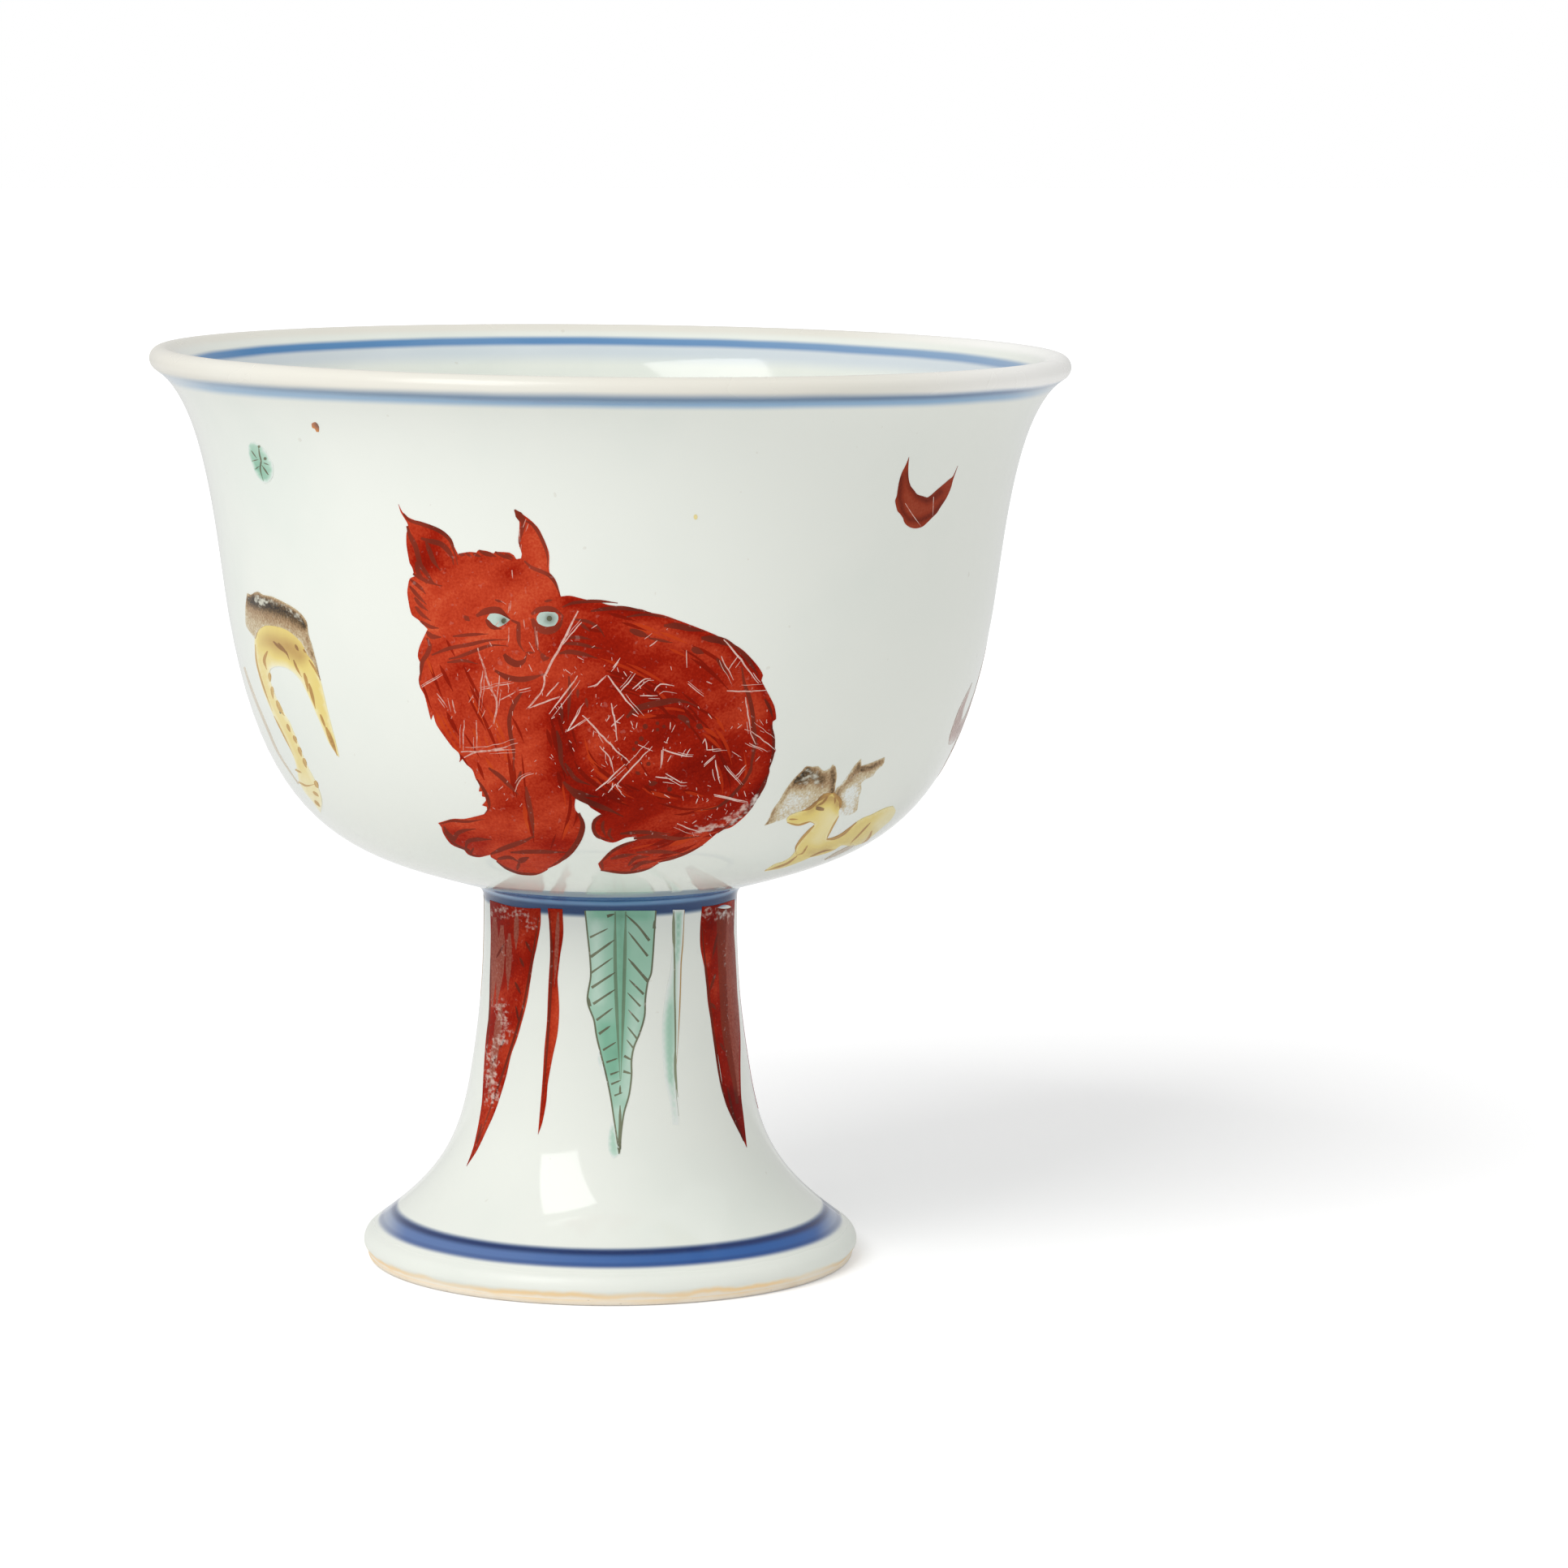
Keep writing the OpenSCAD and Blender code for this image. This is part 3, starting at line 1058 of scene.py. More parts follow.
def smooth_line(points: Sequence[Pixel], closed: bool, step: float, corner: float = 62.0) -> list[Pixel]:
    """Curve through pixels, with its sharp corners kept.

    Args:
        points: pixels that it runs through.
        closed: True where it ends at its start.
        step: about how far apart the new pixels lie.
        corner: turn in degrees from which a pixel stays a corner.

    Returns:
        Pixels along the curve.
    """
    knots = [Vector(p) for p in points]
    count = len(knots)
    last = count if closed else count - 1

    def slope(i: int, leg: Vector) -> Vector:
        if not closed and i in (0, count - 1):
            return leg
        before, after = knots[i] - knots[i - 1], knots[(i + 1) % count] - knots[i]
        if min(before.length, after.length) < 1e-6 or before.angle(after) > math.radians(corner):
            return leg
        way = (before.normalized() + after.normalized()).normalized()
        return way * min(leg.length, before.length, after.length)

    line = []
    for i in range(last):
        a, b = knots[i], knots[(i + 1) % count]
        leg = b - a
        m, n = slope(i, leg), slope((i + 1) % count, leg)
        parts = max(1, round(leg.length / step))
        for k in range(parts):
            t = k / parts
            h = t * t * (3 - 2 * t)
            line.append(tuple(a + leg * h + m * (t * (1 - t) ** 2) - n * (t * t * (1 - t))))
    if not closed:
        line.append(tuple(knots[-1]))
    return line


def gap_to(pixel: Pixel, path: Sequence[Pixel]) -> float:
    """Distance from a pixel to a path of pixels."""
    spot = Vector(pixel)
    gap = min((spot - Vector(p)).length for p in path)
    for a, b in zip(path, path[1:]):
        foot, share = intersect_point_line(spot, Vector(a), Vector(b))
        if 0 < share < 1:
            gap = min(gap, (spot - foot.to_2d()).length)
    return gap


@dataclass(frozen=True)
class Shade:
    """Soft change of tone or wear along a path of pixels."""

    amount: float
    reach: float
    path: Outline

    def at(self, pixel: Pixel) -> float:
        """Change at a pixel."""
        return self.amount * math.exp(-((gap_to(pixel, self.path) / self.reach) ** 2))


@dataclass(frozen=True)
class Stroke:
    """Line of the brush: its paint, its full width and the pixels it runs through."""

    paint: Paint
    width: float
    path: Outline
    start: float = 0.45
    thin: float = 0.82

    def outline(self, step: float) -> list[Pixel]:
        """Closed outline that swells from its start and thins to its end."""
        line = [Vector(p) for p in smooth_line(self.path, False, step)]
        left, right = [], []
        for i, at in enumerate(line):
            way = line[min(i + 1, len(line) - 1)] - line[max(i - 1, 0)]
            side = Vector((-way.y, way.x)).normalized()
            t = i / max(1, len(line) - 1)
            swell = self.start + (1 - self.start) * smoothstep(0, 0.25, t)
            half = 0.5 * self.width * swell * (1 - self.thin * smoothstep(0.55, 1.0, t))
            left.append(tuple(at + side * half))
            right.append(tuple(at - side * half))
        return left + right[::-1]


def pixels(*numbers: float) -> Outline:
    """Pixels from their columns and rows in turn."""
    return tuple(zip(numbers[::2], numbers[1::2]))


def shaded(*rows: Row) -> tuple[Shade, ...]:
    """Shades from rows of an amount, a reach and the pixels of a path."""
    return tuple(Shade(row[0], row[1], pixels(*row[2:])) for row in rows)


def dot(centre: Pixel, across: float, tall: float = 0.0, count: int = 12) -> Outline:
    """Round or oval outline about a pixel."""
    tall = tall or across
    turns = [math.tau * i / count for i in range(count)]
    return tuple((centre[0] + across * math.cos(a), centre[1] + tall * math.sin(a)) for a in turns)


@dataclass
class Film:
    """Thin film of fired enamel: painted shapes, and the lines on them, in pixels of the photograph."""

    name: str
    slot: str
    patches: list[tuple[Paint, Sequence[Pixel]]]
    strokes: list[Stroke] = field(default_factory=list)
    tone: float = 0.5
    shades: tuple[Shade, ...] = ()
    wears: tuple[Shade, ...] = ()
    lift: float = 0.03
    depth: float = 0.06
    grid: float = 10.0
    step: float = 4.0
    turn: float = 0.0
    bleed: float = 0.0
    fringe: float = 0.0

    def loading(self, pixel: Pixel) -> float:
        """Thickness of the enamel at a pixel, from 0 to about 1."""
        tone = self.tone + sum(shade.at(pixel) for shade in self.shades)
        if not self.bleed:
            return tone
        ground = self.patches[0][0]
        edge = min(gap_to(pixel, (*line, line[0])) for paint, line in self.patches if paint is ground)
        return tone * (self.fringe + (1 - self.fringe) * smoothstep(0, self.bleed, edge))


def inside_shape(pixel: Pixel, outline: Sequence[Pixel]) -> bool:
    """True where a pixel lies inside an outline."""
    x, y = pixel
    within = False
    for (x0, y0), (x1, y1) in zip(outline, [*outline[1:], outline[0]]):
        if (y0 > y) != (y1 > y) and x < x0 + (y - y0) / (y1 - y0) * (x1 - x0):
            within = not within
    return within


OVERLAYS = ("SCRATCH", "EYE", "RED_DEEP", "RED_PALE", "RED_VEIL")


@dataclass
class Painter:
    """Lays films of enamel on the cup."""

    surface: CupSurface
    paints: PaintBox

    def triangles(self, film: Film) -> tuple[list[Pixel], list[tuple[list[int], Paint]]]:
        """Cuts a film into triangles.

        Args:
            film: the film.

        Returns:
            Its pixels, and its triangles with the paint that is on top in each.
        """
        shapes = [(paint, smooth_line(line, True, film.step)) for paint, line in film.patches]
        grounds = len(shapes)
        shapes += [(s.paint, s.outline(film.step)) for s in film.strokes]
        points, faces = [], []
        for _, line in shapes:
            area = sum(a[0] * b[1] - b[0] * a[1] for a, b in zip(line, line[1:] + line[:1]))
            ring = [Vector((x, -y)) for x, y in (line if area < 0 else line[::-1])]
            faces.append(list(range(len(points), len(points) + len(ring))))
            points += ring
        for paint, line in shapes[:grounds]:
            if paint.name in OVERLAYS:
                continue
            xs, ys = [p[0] for p in line], [p[1] for p in line]
            for i in range(int((max(xs) - min(xs)) / film.grid) + 1):
                for k in range(int((max(ys) - min(ys)) / film.grid) + 1):
                    spot = (min(xs) + (i + 0.5 * (k % 2)) * film.grid, min(ys) + k * film.grid)
                    if inside_shape(spot, line):
                        points.append(Vector((spot[0], -spot[1])))
        flat, _, cut, _, _, owners = delaunay_2d_cdt(points, [], faces, 1, 1e-4, True)
        kept = []
        for corners, owner in zip(cut, owners):
            if not owner:
                continue
            if all(shapes[i][0].name in OVERLAYS for i in owner):
                continue
            kept.append((list(corners), shapes[max(owner)][0]))
        return [(p.x, -p.y) for p in flat], kept

    def lay(self, film: Film) -> Piece:
        """Builds a film on the cup.

        Args:
            film: the film.

        Returns:
            Its piece, a closed skin with a material for each paint.
        """
        pixels, kept = self.triangles(film)
        used = sorted({i for corners, _ in kept for i in corners})
        index = {old: new for new, old in enumerate(used)}
        turn = math.radians(film.turn)
        places = []
        for i in used:
            angle, z = self.surface.seen_at(pixels[i])
            places.append(self.surface.point(angle + turn, z, film.lift))
        mesh = bpy.data.meshes.new(film.name)
        mesh.from_pydata(places, [], [[index[i] for i in corners] for corners, _ in kept])
        piece = bpy.data.objects.new(film.name, mesh)
        bpy.context.scene.collection.objects.link(piece)
        paints = list(dict.fromkeys(paint for _, paint in kept))
        for paint in paints:
            mesh.materials.append(self.paints.take(paint))
        for polygon, (_, paint) in zip(mesh.polygons, kept):
            polygon.material_index = paints.index(paint)
        worn = [sum(wear.at(pixels[i]) for wear in film.wears) for i in used]
        for name, values in (("tone", [film.loading(pixels[i]) for i in used]), ("wear", worn)):
            mesh.attributes.new(name, "FLOAT", "POINT").data.foreach_set("value", values)
        only(piece)
        solidify = piece.modifiers.new("film_depth", "SOLIDIFY")
        solidify.thickness, solidify.offset = film.depth * MM, -1
        bpy.ops.object.modifier_apply(modifier=solidify.name)
        bpy.ops.object.shade_smooth_by_angle(angle=math.radians(35))
        return finish(piece, film.slot)


def lines(paint: Paint, rows: Sequence[Row], spread: float = 1.0, **more: float) -> list[Stroke]:
    """Brush lines from rows of a width and its pixels, each wider by a spread."""
    return [Stroke(paint, row[0] * spread, pixels(*row[1:]), **more) for row in rows]


@dataclass
class SeatedCat:
    """Red cat that sits and looks back, the main figure."""

    painter: Painter
    body: Outline = pixels(
        491, 621, 496, 631, 504, 638, 545, 655, 553, 662, 565, 684, 567, 682, 579, 680, 587, 681, 589, 678,
        600, 679, 608, 682, 610, 680, 628, 681, 633, 684, 636, 689, 642, 688, 643, 682, 640, 673, 639, 663,
        640, 643, 634, 628, 643, 633, 656, 643, 664, 652, 676, 680, 677, 705, 686, 719, 691, 735, 702, 734,
        723, 739, 734, 740, 748, 745, 791, 751, 802, 755, 818, 758, 881, 782, 914, 800, 929, 815, 936, 824,
        940, 832, 938, 838, 954, 870, 956, 886, 952, 889, 952, 901, 953, 920, 956, 924, 948, 941, 948, 951,
        937, 977, 920, 1003, 901, 1019, 891, 1022, 884, 1026, 863, 1043, 842, 1054, 811, 1062, 809, 1065,
        799, 1070, 786, 1074, 771, 1076, 755, 1075, 741, 1072, 737, 1064, 752, 1049, 788, 1033, 782, 1031,
        771, 1032, 755, 1038, 739, 1033, 731, 1025, 729, 1019, 730, 1013, 734, 1007, 741, 1003, 728, 995,
        723, 990, 709, 984, 708, 992, 709, 998, 718, 1009, 720, 1017, 719, 1025, 711, 1041, 706, 1048,
        690, 1063, 675, 1070, 674, 1072, 660, 1078, 642, 1077, 621, 1068, 612, 1060, 605, 1056, 604, 1053,
        591, 1056, 583, 1055, 576, 1052, 572, 1047, 556, 1040, 546, 1026, 544, 1019, 540, 1014, 558, 1009,
        572, 1009, 597, 1003, 600, 1000, 600, 994, 594, 992, 599, 986, 598, 982, 594, 981, 594, 975,
        590, 975, 592, 965, 587, 961, 582, 948, 575, 942, 570, 935, 566, 939, 567, 933, 565, 927, 558, 921,
        538, 893, 534, 880, 531, 887, 523, 856, 518, 847, 516, 837, 519, 820, 515, 809, 517, 797, 527, 775,
        515, 763, 508, 758, 505, 749, 502, 730, 503, 721, 505, 713, 511, 710, 508, 699, 505, 694, 501, 671,
        501, 657, 503, 647, 494, 631,
    )
    brush: tuple[Row, ...] = (
        (4.2, 497, 633, 505, 641, 518, 645, 535, 651, 546, 657, 555, 666, 559, 677, 562, 686, 564, 696),
        (5.4, 502, 648, 505, 659, 512, 673, 516, 688, 518, 696, 526, 707, 535, 719, 545, 722),
        (5.7, 519, 663, 528, 666, 543, 670, 551, 677, 557, 686, 559, 696),
        (5, 525, 667, 530, 680, 535, 692, 543, 703), (4.8, 513, 692, 516, 707, 526, 719),
        (4, 506, 714, 518, 724, 525, 732), (4, 505, 722, 515, 734, 526, 745),
        (4, 511, 736, 518, 745, 528, 753), (4, 512, 747, 520, 757, 531, 765),
        (4, 518, 765, 530, 772, 541, 774), (4, 509, 707, 524, 715, 543, 722),
        (5.4, 526, 778, 532, 784, 544, 785),
        (5, 526, 786, 530, 795, 526, 807, 521, 814, 519, 826, 518, 839), (3.5, 565, 683, 574, 684),
        (3.5, 574, 681, 581, 686), (3.5, 583, 682, 593, 686), (3.5, 590, 678, 599, 683, 606, 686),
        (3.5, 597, 680, 612, 686), (3.5, 610, 680, 622, 686, 631, 690), (3.5, 622, 682, 633, 688),
        (4.6, 635, 629, 642, 638, 645, 646, 642, 657, 640, 669, 643, 677), (7.6, 646, 643, 634, 628),
        (3.8, 646, 641, 656, 646, 664, 657, 669, 667, 673, 678, 675, 690, 674, 699),
        (4.2, 646, 691, 655, 699, 667, 704, 677, 709, 684, 718, 688, 728, 690, 734),
        (3, 610, 739, 619, 742), (3, 671, 741, 681, 739), (5.7, 572, 759, 579, 765),
        (7.4, 587, 759, 599, 753, 614, 752, 629, 763), (5.4, 599, 763, 606, 772, 618, 775),
        (6.4, 655, 757, 662, 752, 675, 750, 687, 753, 694, 759),
        (8.4, 656, 762, 661, 772, 675, 777, 689, 771, 694, 758),
        (4.6, 630, 764, 639, 768, 639, 782, 640, 793, 646, 803),
        (3.8, 659, 774, 661, 784, 662, 797, 667, 805),
        (7.4, 621, 806, 628, 814, 638, 818, 646, 814, 649, 806), (2.6, 648, 804, 659, 804),
        (5.7, 667, 805, 671, 812, 677, 810), (6, 610, 826, 624, 834, 640, 837, 656, 835, 674, 829),
        (3.5, 558, 784, 579, 782, 602, 781), (4.2, 532, 807, 553, 799, 579, 794, 602, 789, 625, 788),
        (3.8, 553, 812, 566, 809, 587, 801, 606, 795, 627, 796), (3.5, 551, 816, 572, 814, 589, 818),
        (3.8, 692, 793, 710, 793, 729, 797, 742, 799), (5, 689, 805, 702, 803, 719, 806, 736, 811),
        (3.5, 698, 786, 713, 785, 729, 788), (3.5, 708, 763, 725, 766, 738, 774, 745, 785),
        (3.5, 715, 768, 727, 778), (5, 643, 853, 633, 868, 628, 883, 626, 895),
        (4.6, 635, 864, 628, 883, 629, 904, 633, 925, 633, 950),
        (3.8, 701, 833, 702, 849, 701, 868, 700, 887), (3.5, 712, 849, 712, 860),
        (3.5, 722, 860, 724, 872), (3.5, 693, 748, 705, 743, 724, 741, 743, 741, 761, 743),
        (4.2, 728, 753, 747, 750, 766, 749, 787, 752, 802, 755),
        (2.8, 772, 760, 795, 757, 818, 760, 833, 764), (6.5, 818, 771, 833, 771, 852, 775, 869, 778),
        (7.6, 864, 786, 883, 788, 896, 792, 910, 798), (4.6, 903, 795, 917, 807, 927, 821, 934, 832),
        (6.9, 776, 776, 787, 780, 801, 785), (3, 799, 786, 814, 789, 829, 792), (6.9, 852, 799, 867, 805),
        (4.6, 883, 811, 892, 824, 898, 832),
        (
            4.6, 914, 822, 917, 842, 923, 859, 927, 878, 929, 899, 930, 916, 926, 939, 925, 951, 917, 962,
            910, 974,
        ),
        (3.8, 926, 942, 920, 958, 910, 971, 901, 981, 884, 994, 863, 998),
        (6.9, 772, 884, 783, 874, 802, 868, 818, 865, 831, 863, 846, 865, 858, 870),
        (6.5, 835, 882, 845, 887, 850, 897), (6.9, 858, 893, 866, 897), (4, 783, 951, 789, 954),
        (5.7, 799, 966, 810, 964), (3.5, 942, 861, 948, 872, 952, 884),
        (3, 950, 893, 953, 910, 952, 930, 947, 947, 946, 954),
        (4.2, 946, 954, 938, 972, 927, 987, 919, 998),
        (3, 942, 963, 935, 979, 926, 990, 916, 1002, 907, 1011, 895, 1019, 884, 1025),
        (3.8, 691, 868, 693, 891), (5, 686, 900, 690, 917, 692, 940, 700, 956),
        (4.5, 696, 940, 709, 959, 727, 967), (5.7, 694, 963, 704, 973, 721, 979, 738, 982),
        (4.6, 602, 946, 616, 956, 629, 969, 639, 979), (3.8, 642, 950, 639, 961, 635, 973),
        (5.4, 648, 969, 652, 990, 656, 1013, 658, 1032), (3.8, 658, 1030, 642, 1038, 627, 1044, 612, 1051),
        (3, 543, 1015, 556, 1011, 577, 1012, 597, 1009),
        (5, 547, 1018, 552, 1027, 560, 1034, 563, 1027, 572, 1023, 586, 1021),
        (4.6, 574, 1045, 576, 1037, 586, 1034, 606, 1034), (4, 575, 1045, 580, 1051, 584, 1044),
        (2.6, 547, 1025, 561, 1040, 575, 1047, 583, 1054, 600, 1053),
        # The level line at row 1050, from x 629 to 703, is a painted reflection across the front paw, not a
        # brush line.
        (5, 605, 1052, 623, 1044, 642, 1037, 657, 1030), (4.4, 629, 1050, 660, 1049, 703, 1050),
        (6, 638, 1061, 645, 1059, 652, 1056), (4, 613, 1058, 628, 1056, 640, 1062),
        (3.6, 640, 1062, 637, 1072), (2.8, 612, 1061, 623, 1069, 642, 1076, 664, 1076, 675, 1071),
        (6, 713, 1002, 718, 1015, 715, 1030, 707, 1044, 696, 1056, 676, 1069),
        (4, 742, 1004, 733, 1011, 731, 1020, 736, 1030, 754, 1036), (3.6, 744, 1011, 742, 1019, 747, 1031),
        (3.6, 753, 1020, 750, 1028, 756, 1035), (4.2, 764, 1027, 790, 1025, 826, 1027),
        # The level line at row 1050, from x 784 to 842, is a painted reflection across the other paw, not a
        # brush line.
        (4.4, 781, 1033, 811, 1030, 833, 1033, 863, 1030), (4, 784, 1050, 812, 1049, 842, 1051),
        (3, 739, 1064, 754, 1049, 771, 1040, 790, 1034), (3.4, 741, 1061, 743, 1072),
        (4, 752, 1058, 768, 1054, 784, 1052), (4, 774, 1066, 783, 1057, 800, 1055),
        (4, 777, 1072, 791, 1063, 809, 1061), (2.8, 740, 1072, 772, 1075, 799, 1070, 812, 1063),
        (3.2, 812, 1062, 840, 1053, 866, 1041), (6, 697, 966, 710, 980, 728, 989, 754, 999, 768, 1006),
        (3.6, 588, 960, 599, 978, 603, 994, 597, 1003), (3, 884, 1026, 922, 998, 941, 968),
    )
    flows: tuple[Row, ...] = (
        (696, 752, 800, 782, 880, 820, 930, 880, 940, 940), (710, 800, 790, 830, 860, 880, 900, 940),
        (720, 960, 790, 995, 850, 1010, 890, 1000), (760, 880, 830, 875, 890, 910, 905, 970, 880, 1005),
        (740, 830, 800, 850, 850, 900), (540, 790, 570, 850, 600, 910, 620, 960),
        (526, 820, 550, 880, 590, 945), (600, 850, 630, 910, 640, 980, 650, 1030),
        (670, 850, 690, 920, 704, 990, 690, 1040), (770, 920, 800, 970, 860, 990),
        (700, 880, 720, 940, 770, 980), (780, 1060, 820, 1050, 860, 1030),
    )
    scratches: tuple[Row, ...] = (
        (749, 832, 764, 853, 787, 880), (764, 853, 783, 830), (779, 849, 795, 836, 802, 836),
        (755, 822, 764, 811), (801, 796, 810, 789), (718, 881, 735, 899, 757, 922, 776, 939),
        (699, 901, 707, 895, 722, 886), (699, 901, 720, 866), (739, 919, 751, 933, 756, 951),
        (734, 974, 753, 958, 770, 941), (760, 966, 779, 945, 804, 920), (749, 976, 758, 966, 766, 976),
        (816, 924, 846, 932, 853, 932), (816, 924, 814, 947), (845, 932, 850, 922),
        (892, 788, 910, 809, 934, 842), (898, 824, 910, 807), (888, 809, 904, 838), (896, 851, 944, 851),
        (918, 859, 925, 903), (925, 901, 956, 924), (923, 916, 946, 926), (867, 943, 881, 930),
        (869, 910, 871, 924, 889, 922), (892, 943, 912, 966), (906, 956, 919, 943), (881, 937, 887, 966),
        (820, 953, 839, 964, 846, 964), (808, 957, 829, 960), (848, 842, 854, 848, 867, 858),
        (806, 851, 814, 843, 831, 845), (789, 857, 810, 857), (724, 847, 732, 845, 747, 832),
        (753, 866, 757, 884, 760, 912), (753, 895, 764, 884),
        (712, 753, 696, 786, 687, 803, 671, 833, 669, 849, 652, 872), (717, 766, 689, 799),
        (589, 799, 597, 826, 604, 847, 612, 864, 608, 891), (595, 826, 593, 849, 589, 879),
        (616, 833, 612, 864), (593, 849, 633, 841), (539, 854, 551, 871), (557, 862, 561, 879),
        (639, 851, 654, 847), (617, 862, 633, 854), (673, 858, 688, 841), (520, 847, 545, 831),
        (568, 926, 597, 925, 616, 922, 638, 915), (572, 933, 587, 926, 635, 923), (572, 887, 571, 925),
        (587, 887, 588, 923), (635, 975, 642, 959, 658, 952), (834, 1015, 863, 1025), (880, 979, 922, 988),
        (648, 640, 644, 650), (641, 652, 640, 664), (643, 671, 641, 680), (631, 702, 632, 712),
        (630, 740, 628, 753), (627, 780, 626, 793), (661, 777, 663, 800), (712, 832, 690, 862, 676, 880),
        (652, 872, 690, 858),
    )
    nicks: tuple[tuple[float, float, float, int], ...] = (
        (745, 930, 38, 46), (600, 860, 30, 26), (690, 850, 40, 24), (820, 920, 60, 40), (925, 890, 26, 26),
        (880, 985, 40, 34), (640, 800, 40, 14), (770, 830, 50, 18), (620, 960, 40, 12),
    )
    freckles: tuple[tuple[float, float, float], ...] = (
        (795, 895, 3.4), (810, 891, 2.3), (818, 895, 2.3), (810, 899, 2.3), (790, 910, 3.1),
        (784, 915, 2.4), (781, 923, 2.4), (799, 941, 2.7), (825, 972, 3.1),
    )
    left_eye: Outline = pixels(
        600, 762, 604, 756, 612, 754, 620, 757, 629, 763, 622, 769, 613, 773, 605, 771,
    )
    right_eye: Outline = pixels(
        661, 763, 664, 756, 671, 752, 680, 753, 687, 757, 688, 763, 684, 770, 676, 774, 667, 772,
    )
    pupils: Outline = ((621, 765), (677, 762))
    fur_each: int = 11
    seed: int = 7

    def fur(self) -> list[Stroke]:
        """Soft dark and pale marks of the brush that follow the fur."""
        draw = random.Random(self.seed + 1)
        marks = []
        for flow in self.flows:
            line = [Vector(p) for p in smooth_line(pixels(*flow), False, 6)]
            for _ in range(self.fur_each):
                start = draw.randrange(0, len(line) - 4)
                end = min(len(line), start + draw.randrange(5, 14))
                shift = Vector((draw.gauss(0, 9), draw.gauss(0, 9)))
                path = tuple(tuple(p + shift) for p in line[start:end:2])
                paint = draw.choice((Paint.RED_DEEP, Paint.RED_DEEP, Paint.RED_PALE))
                if len(path) > 1:
                    marks.append(Stroke(paint, draw.uniform(2.2, 5.5), path, 0.15))
        return marks

    def worn_lines(self) -> list[Stroke]:
        """Scratches, each a little rough, and the small nicks that lie in clusters about them."""
        draw = random.Random(self.seed)
        marks = []
        for path in self.scratches:
            line = smooth_line(pixels(*path), False, 7)
            rough = [(x + draw.gauss(0, 0.35), y + draw.gauss(0, 0.35)) for x, y in line]
            width = draw.uniform(0.9, 1.3) + 0.012 * math.dist(path[:2], path[-2:])
            marks.append(Stroke(Paint.SCRATCH, width, tuple(rough), 0.6, 0.6))
            dx, dy = draw.gauss(0, 3.5), draw.gauss(0, 3.5)
            part = [(x + dx, y + dy) for x, y in rough[draw.randrange(0, max(1, len(rough) - 2)):]]
            if len(part) > 1:
                marks.append(Stroke(Paint.SCRATCH, draw.uniform(0.6, 1.0), tuple(part), 0.6, 0.6))
        for x, y, spread, count in self.nicks:
            for _ in range(count):
                at = Vector((draw.gauss(x, spread), draw.gauss(y, spread * 0.7)))
                turn, length = draw.uniform(0.3, 2.6), 1.5 + draw.expovariate(0.32)
                end = at + length * Vector((math.cos(turn), math.sin(turn)))
                marks.append(Stroke(Paint.SCRATCH, draw.uniform(0.7, 1.3), (tuple(at), tuple(end)), 0.7, 0.5))
        return marks

    def build(self) -> None:
        """Lays the cat."""
        film = Film("cat", "iron_red_enamel", [(Paint.RED, self.body)])
        film.patches += [(mark.paint, mark.outline(film.step)) for mark in self.fur()]
        film.strokes += lines(Paint.RED_LINE, self.brush, 1.15)
        film.patches += [(Paint.RED_LINE, dot((x, y), r)) for x, y, r in self.freckles]
        film.patches += [(Paint.EYE, self.left_eye), (Paint.EYE, self.right_eye)]
        film.patches += [(Paint.GREEN_LINE, dot(spot, 3.4)) for spot in self.pupils]
        film.strokes += self.worn_lines()
        film.shades = shaded(
            (-0.12, 60, 560, 740, 650, 730, 600, 800), (-0.14, 40, 545, 830, 600, 890),
            (0.3, 60, 820, 900, 880, 960, 800, 980), (-0.04, 40, 650, 1030, 580, 1030),
            (0.15, 25, 700, 780, 760, 800),
            (0.3, 7, 700, 742, 790, 755, 870, 782, 925, 815, 950, 870, 952, 930, 930, 985),
            (0.2, 34, 750, 800, 850, 830), (-0.2, 14, 820, 830, 870, 860),
            (0.3, 20, 690, 880, 700, 960, 730, 985), (0.3, 16, 540, 650, 525, 690),
            (-0.25, 16, 655, 660, 665, 690),
        ) + (Shade(0.5, 7, self.pupils[:1]), Shade(0.5, 7, self.pupils[1:]))
        film.wears = shaded(
            (0.6, 13, 862, 1022, 900, 1012, 930, 985), (0.34, 9, 950, 880, 952, 930, 940, 966),
            (0.3, 18, 745, 960, 760, 930), (0.34, 6, 700, 742, 790, 755),
        )
        self.painter.lay(film)


